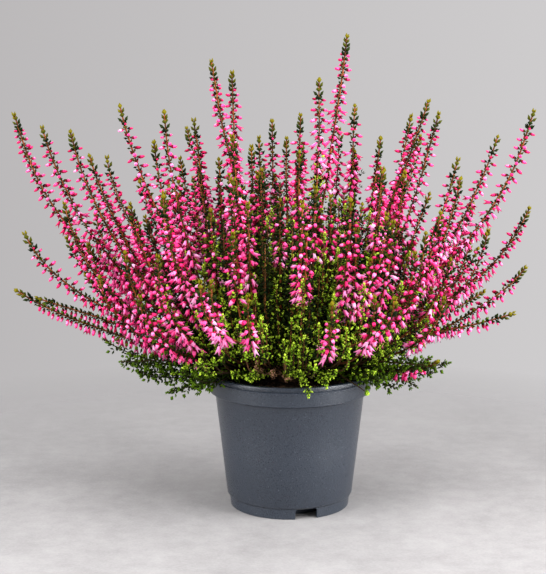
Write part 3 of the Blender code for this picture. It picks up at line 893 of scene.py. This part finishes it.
spikePlan = {
    "flowering": (0.57, 0.43, 0.51), "wide": 0.120, # where flowers start, in the middle and at
    "front": -0.095, "frontLater": 0.09,            # the left and right ends, later in front
    "latest": 0.70, "uneven": 0.07, "upright": 0.42,    # front spikes flower from there upwards
    "tip": 0.0120, "pitch": 0.0034, "missing": 0.05, "stalk": 0.0018,
    "shift": 0.003, "turned": 0.25,             # how unevenly the florets stand
    "length": (0.0070, 0.0050), "width": (0.0034, 0.0028), "sizes": (0.86, 1.12),
    "small": 0.9, "less": 0.25,                 # from there upwards they get that much smaller
    "lean": (112, 80), "leanSway": 12, "droop": (0.85, 0.12), "droops": (0.6, 1.2),
    "levelDroop": 0.5,                          # low shoots let their florets hang
    "open": 0.60, "bells": 0.75,                # how far up bells are open, and their share
    "tones": ("deepest", "deep", "rose", "pink", "pale"),
    "toned": (2.1, 0.60), "toneSway": 0.65,     # deep tones above, pale ones below
    "lit": 0.60, "shade": 3.8,      # painted shade: how far out florets keep their own tone, and how fast they darken further in
    "level": 0.45,                  # how level a spike is when its upper side has leaves alone
    "upperSide": 0.35, "levelBract": 0.0042, "levelLean": 0.8, "levelTones": ("moss", "green"),
    "bract": 0.0032, "bractPlump": 0.72, "bracts": (0.85, 1.15),
    "bractOut": (0.0004, 0.0003), "bractUp": 0.35, "bractLean": 0.7,
    "bractTones": (("moss", "moss", "dark", "olive"), ("moss", "moss", "olive", "dark")),
    "tuftBulk": 1.15, "frontBulk": 0.70,
    "tuftsPast": 0.05,              # how far leaf tufts go on between the first florets
    "tipTones": ("gold", "olive", "olive", "moss", "dark"),
}
leafPlan = {
    "length": (0.0028, 0.0036), "plump": 0.62, "thick": 0.8,
    "leafy": 0.018, "bare": 0.006,  # how far from the head and the tip the foliage keeps
    "tuftPitch": 0.0047, "tuftLength": (0.0078, 0.0052), "tuftLean": (58, 42),
    "tuftTurned": 0.2, "tufts": (0.75, 1.15), "leanSway": 8,
    "tuftPairs": 3, "tuftAlong": (0.08, 0.68), "tuftSpread": (62, 34), "tuftEnd": (0.70, 0.36),
    "light": (0.10, 0.66), "lightSway": 0.28,   # how far out leaves are dark as painted shade, and light as painted light
    "toneSway": 0.7,                # how far a leaf's tone may be from its place's
    "tipPitch": 0.0030, "tipPairs": 5, "tipLength": (0.0044, 0.0052), "tipPlump": 0.66,
    "tipLean": (16, 46), "tipSway": 6, "tips": (0.9, 1.15), "tipOpens": 1.6, "tipGrows": 2,
    "tipFirst": 0.3,                # how far from the tip the first pair stands, of the pitch
    "sprigTip": 0.52,               # how large the tips' leaves are on leafy sprigs
    "sprigTones": ("bright", "fresh", "fresh", "green"),
    "clear": 0.0015, "clearTop": 0.001, "clearInside": 0.006,   # from the compost and the rim
}
toneSteps = (                       # the tones along a tuft, from deep in the plant outwards: deeper tufts darker as painted shade, outer ones brighter as painted light, each tuft darker at its foot as painted shade
    (0.30, ("dark", "dark", "dark")), (0.55, ("dark", "dark", "moss")),
    (0.80, ("dark", "moss", "fresh")), (1.10, ("dark", "green", "fresh", "bright")),
    (9.00, ("dark", "green", "bright", "bright")),
)
groupForms = {"left": "plump", "right": "plump", "rim": "plump"}
overSoil = ("left", "right", "rim", "dry")      # these groups may hang over the bare compost
groupBulk = {"core": 1.4, "rim": 0.80, "left": 1.55, "right": 1.55, "dry": 0.80}
# painted shade: tufts darken towards their foot, and the core's tones are all dark deep in the plant
groupTones = {
    "core": ("dark", "dark", "moss"), "dome": ("dark", "moss", "fresh", "bright"),
    "rim": ("moss", "green", "fresh", "bright"), "left": ("moss", "moss", "green"),
    "right": ("moss", "moss", "green"), "dry": ("dry", "olive", "dry"),
}
florets = {(form, tone): Heap() for form in ("bud", "bell") for tone in spikePlan["tones"]}
leafTones = ("dark", "moss", "green", "fresh", "bright", "gold", "olive", "dry")
leaves = {(form, tone): Heap() for form in ("blade", "plump") for tone in leafTones}
twigRuns = {"red": [], "brown": []}


def tipAt(across, down, behind):        # the place of a pixel that far behind the pot's middle
    behind *= 0.001
    width, height = cameraPlan["picture"]
    x, y, z = cameraPlan["place"]
    depth = behind - y
    rise = depth * math.tan(math.atan((height / 2 - down) / focal) - pitch)
    away = depth * math.cos(pitch) - rise * math.sin(pitch)
    return Vector((x + (across - width / 2) / focal * away, behind, z + rise))


def pixelOf(place):
    width, height = cameraPlan["picture"]
    way = place - Vector(cameraPlan["place"])
    away = way.y * math.cos(pitch) - way.z * math.sin(pitch)
    rise = way.y * math.sin(pitch) + way.z * math.cos(pitch)
    return width / 2 + focal * way.x / away, height / 2 - focal * rise / away


def underSkyline(tip):
    across, down = pixelOf(tip)
    plan = growthPlan
    aside = abs(across - cameraPlan["picture"][0] / 2) > plan["aside"]
    return down > np.interp(across, *zip(*plan["skyline"])) and not (aside and down > plan["lowest"])


def offBareSoil(place):
    across, down = pixelOf(place)
    return place.y > 0 or not any(left < across < right and high < down < low
                                  for left, high, right, low in growthPlan["bareSoil"])


def ownerOf(place):                     # the flowering mass whose space a place lies in
    reach = (place - head).length
    return min(spikeNodes, key=lambda name: (place - axes[name].at(reach)).length)


def roomAt(place, heap):                # the way to the nearest of some shoots' tips
    return min(((place - shoot.curve[-1]).length for shoot in heap), default=1.0)


def freshTip(name, spreads, reaches, chance, heap, allowed):    # the one of some with most room
    start, _, end = shoots[name]
    chord = (end - start).normalized()
    best, room = None, 0
    for _ in range(growthPlan["tries"]):
        across = ring(chord, chance.uniform(0, math.tau))
        way = Quaternion(across, math.radians(chance.uniform(*spreads))) @ chord
        tip = start + way * chance.uniform(*reaches)
        if allowed(tip) and roomAt(tip, heap) > room and inSpace(name, tip):
            best, room = tip, roomAt(tip, heap)
    return best, room


class Shoot:                            # a shoot's smooth centre line, by share of its length
    def __init__(self, curve, seed, group=None):
        self.curve, self.seed, self.group = curve, seed, group
        steps = shootPlan["axisSteps"]
        points = [bend(curve, k / steps) for k in range(steps + 1)]
        lengths = [(there - here).length for here, there in zip(points, points[1:])]
        self.length = sum(lengths)
        self.shares = [0.0, *(run / self.length for run in itertools.accumulate(lengths))]
        self.reaches = [(point - head).length for point in points]

    def at(self, share):                # its place there, wandering a little, and its way ahead
        k, past = stretchAt(self.shares, share)
        t = (k - 1 + past) / shootPlan["axisSteps"]
        amount = growthPlan["wander"] * min(1, share * growthPlan["straight"])
        place = bend(self.curve, t)
        spot = place * growthPlan["wanderScale"] + Vector((self.seed, self.seed * 2, 0))
        return place + noise.noise_vector(spot) * amount, bendAhead(self.curve, t)

    def shareAt(self, reach):           # the share where the shoot comes so far from the head
        return next((share for share, out in zip(self.shares, self.reaches) if out >= reach), 1)

    def uprightFrom(self, rise):        # the share from which the shoot runs so steeply
        return next((share for share in self.shares if self.at(share)[1].z > rise), 0)

    def limb(self, radii, steps):
        run = [self.at(k / steps)[0] for k in range(steps + 1)]
        return run, [mix(radii, k / steps) for k in range(steps + 1)]


def clearOfPot(place):
    plan, out = leafPlan, place.xy.length
    outside = out > potPlan["rim"] + plan["clear"]
    if place.z < compostPlan["top"] + plan["clear"] and not outside:
        return False
    return outside or place.z > potHigh.z + plan["clearTop"] \
        or out < potPlan["rim"] - plan["clearInside"]


def leaning(ahead, turn, lean):         # a way that leans out of a shoot
    return ahead * math.cos(lean) + ring(ahead, turn) * math.sin(lean)


def outOf(ahead, side, leans, share, sway, chance):     # at a lean between two, a little uneven
    return leaning(ahead, side, math.radians(mix(leans, share) + chance.uniform(-sway, sway)))


def leaf(form, place, out, face, length, tone, plump):
    if clearOfPot(place + out * length):
        width = length * plump
        leaves[form, tone].add(place, out, face, (width, width * leafPlan["thick"], length))


def toneAt(tones, k):                   # that tone, or the nearest that there is
    return tones[max(0, min(len(tones) - 1, k))]


def toneOf(tones, share, chance):       # mostly the tone that belongs there
    sway = leafPlan["toneSway"]
    return toneAt(tones, int(share * len(tones) + chance.uniform(-sway, sway)))


def pairs(turn):                        # two opposite sides of a shoot
    return turn, turn + math.pi


def tuft(place, ahead, length, chance, tones, form="blade"):    # a side branch of small leaves
    plan = leafPlan
    if not clearOfPot(place + ahead * length):
        return
    turn = chance.uniform(0, math.pi)
    for k in range(plan["tuftPairs"]):
        share = k / (plan["tuftPairs"] - 1)
        turn += math.pi / 2
        spot = place + ahead * (length * mix(plan["tuftAlong"], share))
        for side in pairs(turn):
            out = outOf(ahead, side, plan["tuftSpread"], share, plan["leanSway"], chance)
            size = mix(plan["length"], chance.random()) * length / plan["tuftLength"][0]
            leaf(form, spot, out, ahead, size, toneOf(tones, share, chance), plan["plump"])
    along, size = plan["tuftEnd"]
    leaf(form, place + ahead * (length * along), ahead, ring(ahead, turn), length * size,
         tones[-1], plan["plump"])


def leafyTip(shoot, chance, tones, bulk=1):     # plump leaves in crossed pairs
    plan = leafPlan
    turn = chance.uniform(0, math.pi)
    for k in range(plan["tipPairs"]):
        below = plan["tipPitch"] * bulk * (k + plan["tipFirst"])
        place, ahead = shoot.at(1 - below / shoot.length)
        turn += math.pi / 2
        share = k / (plan["tipPairs"] - 1)
        opened = min(1, share * plan["tipOpens"])
        length = mix(plan["tipLength"], min(1, share * plan["tipGrows"]))
        for side in pairs(turn):
            out = outOf(ahead, side, plan["tipLean"], opened, plan["tipSway"], chance)
            size = length * chance.uniform(*plan["tips"]) * bulk
            leaf("plump", place, out, ahead, size, toneOf(tones, share, chance), plan["tipPlump"])


def outness(place):                     # 0 at the head, 1 where the crown ends on that side
    return (place - head).length / axes[ownerOf(place)].reaches[-1]


def floretTone(share, place, chance):   # deep above, pale below, and darker inside the crown as painted shade
    plan = spikePlan
    level = mix(plan["toned"], share) + chance.gauss(0, plan["toneSway"])
    # painted shade: florets deeper in the crown take deeper tones
    level += (min(outness(place), plan["lit"]) - plan["lit"]) * plan["shade"]
    return toneAt(plan["tones"], round(level) + 1)


def bracts(place, ahead, hang, turn, chance):       # one below a floret, and one beside it
    plan = spikePlan
    length = plan["bract"] * chance.uniform(*plan["bracts"])
    below = (hang + ahead * plan["bractUp"]).normalized()
    beside = leaning(ahead, turn + math.pi / 2, plan["bractLean"])
    starts = [way * out for way, out in zip((hang, beside), plan["bractOut"])]
    for start, out, tones in zip(starts, (below, beside), plan["bractTones"]):
        leaf("plump", place + start, out, ahead, length, chance.choice(tones), plan["bractPlump"])


def flowers(shoot, chance, foot):
    plan = spikePlan
    top = 1 - plan["tip"] / shoot.length
    count = max(1, int((top - foot) * shoot.length / plan["pitch"]))
    turn = chance.uniform(0, math.tau)
    for k in range(count + 1):
        share = k / count
        place, ahead = shoot.at(mix((foot, top), share)
                                + chance.uniform(-plan["shift"], plan["shift"]))
        turn += math.pi / 2 + chance.uniform(-plan["turned"], plan["turned"])
        smaller = 1 - plan["less"] * max(0, share - plan["small"]) / (1 - plan["small"])
        level = 1 - abs(ahead.z)
        for side in pairs(turn):
            size = chance.uniform(*plan["sizes"]) * smaller
            length, width = mix(plan["length"], share) * size, mix(plan["width"], share) * size
            out = outOf(ahead, side, plan["lean"], share, plan["leanSway"], chance)
            droop = (mix(plan["droop"], share) + plan["levelDroop"] * level) \
                * chance.uniform(*plan["droops"])
            hang = (out - up * droop).normalized()
            if level > plan["level"] and out.z > plan["upperSide"]:
                leaf("plump", place, leaning(ahead, side, plan["levelLean"]), ahead,
                     plan["levelBract"], chance.choice(plan["levelTones"]), plan["bractPlump"])
            elif chance.random() > plan["missing"] and clearOfPot(place + hang * length):
                bell = share < plan["open"] and chance.random() < plan["bells"]
                heap = florets["bell" if bell else "bud", floretTone(share, place, chance)]
                heap.add(place + hang * plan["stalk"], hang, ahead, (width, width, length))
            bracts(place, ahead, hang, side, chance)


def depthShadedTones(place, chance):             # painted shade on leaves deep in the plant, painted light on those outside
    low, high = leafPlan["light"]
    level = (outness(place) - low) / (high - low) + chance.gauss(0, leafPlan["lightSway"])
    return next(tones for most, tones in toneSteps if level < most)


def tufts(shoot, chance, start, end, tones=None, bulk=1):       # pairs of them on a stretch
    plan = leafPlan
    count = int((end - start) * shoot.length / plan["tuftPitch"])
    turn = chance.uniform(0, math.tau)
    for k in range(count):
        place, ahead = shoot.at(mix((start, end), (k + 0.5) / count))
        turn += math.pi / 2 + chance.uniform(-plan["tuftTurned"], plan["tuftTurned"])
        if not (shoot.group in overSoil or offBareSoil(place - up * plan["tuftLength"][1])):
            continue
        for side in pairs(turn):
            out = outOf(ahead, side, plan["tuftLean"], k / count, plan["leanSway"], chance)
            length = mix(plan["tuftLength"], k / count) * chance.uniform(*plan["tufts"]) * bulk
            tuft(place, out, length, chance, tones or depthShadedTones(place, chance),
                 groupForms.get(shoot.group, "blade"))


def growSpike(shoot, chance):
    plan = spikePlan
    tip = shoot.curve[-1]
    whole = axes[ownerOf(tip)].reaches[-1]
    middle, left, right = plan["flowering"]
    foot = mix((middle, left if tip.x < 0 else right), min(1, abs(tip.x) / plan["wide"]) ** 2)
    inFront = tip.y < plan["front"]
    if inFront:
        foot += plan["frontLater"]
    foot = shoot.shareAt(whole * (foot + plan["uneven"] * chance.uniform(-1, 1)))
    foot = min(foot, plan["latest"])
    if inFront:
        foot = max(foot, shoot.uprightFrom(plan["upright"]))
    twigRuns["red"].append(shoot.limb(*growthPlan["stem"]))
    flowers(shoot, chance, foot)
    leafyTip(shoot, chance, plan["tipTones"])
    tufts(shoot, chance, shoot.shareAt(leafPlan["leafy"]), foot + plan["tuftsPast"],
          bulk=plan["frontBulk" if inFront else "tuftBulk"])


def growGreen(shoot, chance):
    plan = leafPlan
    tones = groupTones.get(shoot.group)
    twigRuns["brown"].append(shoot.limb(*growthPlan["sprig"]))
    tufts(shoot, chance, shoot.shareAt(plan["leafy"]), 1 - plan["bare"] / shoot.length, tones,
          groupBulk.get(shoot.group, 1))
    leafyTip(shoot, chance, tones[::-1] if tones else plan["sprigTones"], plan["sprigTip"])


def bowed(foot, tip):                   # out first, then up
    rise = tip - foot
    lean = rise.xy.length / (rise.xy.length + abs(rise.z))
    plan = growthPlan
    out, above = (float(np.interp(lean, plan["leaning"], plan[way])) for way in ("out", "above"))
    out = mix((out, 1), max(0, min(1, -tip.y / plan["frontOut"])))
    return foot + Vector((rise.x * out, rise.y * out, rise.z * above))


def risingTo(name, tip, chance):        # leaves a mass's main shoot low, runs out, then turns up
    plan = growthPlan
    foot = bend(shoots[name], chance.uniform(*plan["feet"]))
    width, radius = plan["farthest"]
    sideways, backwards = plan["outwards"]
    x = max(-width, min(width, tip.x * sideways * chance.uniform(*plan["uneven"])))
    depth = math.sqrt(radius ** 2 - x ** 2)
    ground = Vector((x, max(plan["forward"], min(depth, tip.y * backwards)), 0))
    ground.z = compostPlan["top"] + plan["low"] + (tip.z - head.z) * plan["rises"]
    guide = bowed(ground, tip)
    guide.z = max(guide.z, potHigh.z + plan["overRim"])
    return foot, ground, guide, tip


def growTo(heap, tip, chance, name=None, group=None):       # one more shoot, up to a tip
    curve = risingTo(name or ownerOf(tip), tip, chance)
    curve[2].z -= growthPlan["sag"].get(group, 0)       # the guide of its upper part
    heap.append(Shoot(curve, len(heap), group))


def inBox(tip):                         # a little inside the solid plant's box
    inset = growthPlan["inset"]
    return all(low + inset < at < high - inset for low, at, high in zip(cadBox[0], tip, cadBox[1]))


def solidShoots(name):                  # the main shoot and the side shoots of the solid mass
    main, first, seed = shoots[name], firstOf(name), masses[name][4]
    guide = Guide(main, first)
    chance = random.Random(seed)
    kinds = ("forks", "spread", "reach")
    if name in sprayNodes:
        kinds = ("greenForks", "greenSpread", "greenReach")
    forks, spreads, reaches = (shootPlan[kind] for kind in kinds)
    sides = [fork(name, guide, share, spreads, reaches, chance) for share in forks]
    foot, tip = bend(main, first), main[2]
    return [Shoot((foot, bowed(foot, tip), tip), seed)] + [
        Shoot(risingTo(name, side[2], chance), seed + k) for k, side in enumerate(sides, 1)
        if side]


def coreTips(plan, count, leans, reaches, chance):      # over the pot, spread as a cone's seeds
    for k in range(count):
        lean = mix(leans, math.sqrt((k + 0.5) / count))
        azimuth = math.degrees(k * plan["seedTurn"])
        yield head + direction(azimuth, lean) * chance.uniform(*reaches)


def moreSpikes(plan, spikes, chance):
    for name in spikeNodes:
        reach = (shoots[name][2] - head).length
        reaches = [share * reach for share in plan["moreReach"]]
        for _ in range(plan["moreSpikes"]):
            tip, room = freshTip(name, plan["moreSpread"], reaches, chance, spikes,
                                 lambda tip: tip.y > plan["behind"] and inBox(tip)
                                 and underSkyline(tip))
            if tip and room > plan["room"]:
                growTo(spikes, tip, chance, name)
    for tip in coreTips(plan, *plan["coreSpikes"], chance):
        if underSkyline(tip):
            growTo(spikes, tip, chance)


def moreGreens(plan, greens, chance):
    for name in [*shoots] * plan["greenShoots"]:
        kind = "low" if name in sprayNodes else "green"
        tip, _ = freshTip(name, plan[kind + "Spread"], plan[kind + "Reach"], chance, greens,
                          lambda tip: tip.z > potHigh.z + plan["aboveRim"] and offBareSoil(tip))
        if tip:
            growTo(greens, tip, chance, name)
    for tip in coreTips(plan, *plan["core"], chance):
        growTo(greens, tip, chance, None, "core")


def growPlant(plan):
    chance = random.Random(plan["seed"])
    spikes, greens = [], []
    for row in itertools.chain(*seenTips.values()):
        growTo(spikes, tipAt(*row), chance)
    for name in spikeNodes:
        main, *sides = solidShoots(name)
        spikes.append(main)
        for side in sides:
            tip = side.curve[-1]
            if roomAt(tip, spikes) > plan["forkRoom"] and underSkyline(tip):
                spikes.append(side)
    moreSpikes(plan, spikes, chance)
    for name in greenMasses:
        for shoot in solidShoots("sprays_" + name):
            if offBareSoil(shoot.curve[-1]):
                shoot.group = name if name in groupTones else None
                greens.append(shoot)
    for group, rows in seenSprigs.items():
        for row in rows:
            growTo(greens, tipAt(*row), chance, None, group)
    moreGreens(plan, greens, chance)
    for k, shoot in enumerate(spikes):
        growSpike(shoot, random.Random(k))
    for k, shoot in enumerate(greens):
        growGreen(shoot, random.Random(plan["greenSeed"] + k))
    return len(spikes), len(greens)


noise.seed_set(growthPlan["wanderSeed"])        # noise vectors differ from run to run without it
print("plant grown, %d flower spikes and %d green shoots" % growPlant(growthPlan))


# Finishes of the plant, plain colours dealt out by floret and by leaf

colourPlan = {
    "deepest": (0.200, 0.001, 0.022), "deep": (0.540, 0.006, 0.080),
    "rose": (0.820, 0.030, 0.180), "pink": (0.900, 0.095, 0.335),
    "pale": (0.940, 0.280, 0.580), "palest": (0.970, 0.480, 0.740),
    "dark": (0.0030, 0.0095, 0.0005), "moss": (0.014, 0.027, 0.001),
    "green": (0.062, 0.118, 0.003), "fresh": (0.200, 0.360, 0.012),
    "bright": (0.440, 0.620, 0.045), "gold": (0.150, 0.125, 0.002),
    "olive": (0.058, 0.064, 0.001), "dry": (0.330, 0.170, 0.100),
    "petalRoughness": 0.55, "leafRoughness": 0.60, "shine": 0.08,
}
twigPlan = {
    "redBark": ((0.045, 0.014, 0.006), (0.340, 0.088, 0.022)),      # dark and light
    "brownBark": ((0.022, 0.012, 0.004), (0.270, 0.095, 0.026)),
    "heights": (0.111, 0.148),          # between these the bark turns from dark to light: painted shade lower in the plant
    "patches": (120, 3), "contrast": (0.35, 0.65), "grain": (900, 2), "relief": (0.0002, 0.5),
    "roughness": 0.5, "rougher": 0.3, "shine": 0.15,
}
formPlan = {                            # shapes of length 1 along Z
    "bud": ((0, 0), (0.24, 0.06), (0.45, 0.38), (0.35, 0.74), (0, 1)), "budFoot": 0.22,
    "bell": ((0, 0), (0.18, 0.05), (0.33, 0.40), (0.47, 0.76), (0.18, 0.56), (0, 0.50)),
    "bellFoot": 0.20, "lobes": 4, "lobed": 0.7,     # lobes start at that height
    "lobe": (0.30, 1.45), "gap": (-0.06, 0.82),     # how far they rise, and how wide they open
    "upperSide": (-0.45, 0.80),         # faces that look up, below that height, are paler: painted light from above
    # foot, tip and two sides, and on plump leaves the keel and the face
    "blade": ((0, 0, 0), (0, 0, 1), (-0.5, 0.3, 0.48), (0.5, 0.3, 0.48)),
    "plump": ((0, 0, 0), (0, 0, 1), (-0.5, 0.05, 0.55), (0.5, 0.05, 0.55),
              (0, 0.5, 0.50), (0, -0.3, 0.60)),
}


def plainFinish(kind, tone):
    return Finish(f"{kind}_{tone}", {
        "Base Color": colourPlan[tone], "Roughness": colourPlan[kind + "Roughness"],
        "Specular IOR Level": colourPlan["shine"],
    })


def leafPattern(corners):
    shape = bmesh.new()
    for corner in corners:
        shape.verts.new(corner)
    bmesh.ops.convex_hull(shape, input=shape.verts)
    return pattern(shape)


def paintPetalLightAndShade(shape, foot):           # 1 round the foot, and in the throat as painted shade; 2 on the upper side as painted light
    facing, below = formPlan["upperSide"]
    for face in shape.faces:
        middle = face.calc_center_median()
        inward = face.normal.xy.dot(middle.xy) < 0
        if middle.z < foot or inward:
            face.material_index = 1
        # painted light: faces that look up take a paler tone
        elif face.normal.y < facing and middle.z < below:
            face.material_index = 2


def budPattern(plan):
    shape = turnedShape(plan["bud"], 6)
    paintPetalLightAndShade(shape, plan["budFoot"])
    return pattern(shape)


def bellPattern(plan):                  # pointed lobes flare round a throat darkened as painted shade
    shape = turnedShape(plan["bell"], plan["lobes"] * 2)
    for vert in shape.verts:
        if vert.co.z > plan["lobed"]:
            turn = round(math.atan2(vert.co.y, vert.co.x) / (math.tau / plan["lobes"] / 2))
            rise, wide = plan["lobe" if turn % 2 else "gap"]
            vert.co.z += rise
            vert.co.xy *= wide
    shape.normal_update()
    paintPetalLightAndShade(shape, plan["bellFoot"])
    return pattern(shape)


def twigFinish(name, plan):
    finish = Finish(name, {"Specular IOR Level": plan["shine"]})
    place = finish.place()
    patches = finish.noise(place, *plan["patches"])
    # patchy bark, with painted shade darkening it lower in the plant
    share = finish.between(patches, *plan["contrast"]) \
        * finish.between(finish.part(place, "Z"), *plan["heights"])
    finish.drive("Base Color", finish.blendColours(share, *plan[name]))
    finish.drive("Roughness", plan["roughness"] + patches * plan["rougher"])
    finish.bump(finish.noise(place, *plan["grain"]), *plan["relief"])
    return finish


def stampPlant(plan):
    forms = {"bud": budPattern(plan), "bell": bellPattern(plan),
             "blade": leafPattern(plan["blade"]), "plump": leafPattern(plan["plump"])}
    tones = (*spikePlan["tones"], "palest")
    petals = [plainFinish("petal", tone) for tone in tones]
    for (form, tone), heap in florets.items():
        if heap.rows:
            # slot 1 is two tones deeper, for the foot and the painted shade in the throat; slot 2 is
            # one tone paler, the painted light on the upper side
            finishes = [toneAt(petals, tones.index(tone) + step) for step in (0, -2, 1)]
            stamp(f"florets_{form}_{tone}", heap, forms[form], finishes, "blossom", *spikeNodes)
    greenery = {tone: plainFinish("leaf", tone) for tone in leafTones}
    for (form, tone), heap in leaves.items():
        if heap.rows:
            stamp(f"leaves_{form}_{tone}", heap, forms[form], [greenery[tone]], "foliage",
                  *sprayNodes)
    tubes("spikeStems", twigRuns["red"], 4, [twigFinish("redBark", twigPlan)], "bark")
    tubes("sprigTwigs", twigRuns["brown"], 4, [twigFinish("brownBark", twigPlan)], "bark")


stampPlant(formPlan)
print("florets, leaves and twigs stamped")


# Stem and boughs, with the bark's relief

stemPlan = {
    "foot": (0.0112, 0.0943), "knee": (0.0101, 0.0966), "waist": (0.0090, 0.0993),
    "steps": 48, "headSteps": 18, "bark": (0.0010, 300, 0.35),  # depth, scale, stretch
    "boughSteps": 13, "boughBark": (0.00035, 700),
    "shine": 0.3, "noises": ((420, 4, 0.6), (90, 3)), "contrast": (0.38, 0.62),
    "raised": 0, "roughness": 0.75, "rougher": 0.2, "relief": (0.0006, 0.8),
    "dark": (0.020, 0.010, 0.006), "light": (0.105, 0.054, 0.027),
}


def makeStem(plan):
    finish = crumblyFinish("oldBark", plan)
    radius = shootPlan["headRadius"]
    low = math.degrees(math.asin(plan["waist"][0] / radius)) - 90
    profile = [(max(0, x), z) for x, z in arc((0, head.z), radius, 90, low, plan["headSteps"])]
    profile += [plan["waist"], plan["knee"], plan["foot"], (0, plan["foot"][1])]
    made = meshObject("woodyStem", turnedShape(profile, plan["steps"]), finish, "bark", "stem")
    roughen(made.data, *plan["bark"])
    made.data.shade_smooth()
    steps = plan["boughSteps"]
    radii = [mix(shootPlan["boughRadius"], k / steps) for k in range(steps + 1)]
    boughs = tubes("barkBoughs", [(boughRun(name, steps + 1), radii) for name in spikeNodes], 8,
                   [finish], "bark", *["bough_" + name for name in floweringMasses])
    roughen(boughs.data, *plan["boughBark"])


makeStem(stemPlan)
print("stem and boughs done")

total = sum(tally.values())
print("triangles:", total, {name: count for name, count in tally.items() if count > 20000})
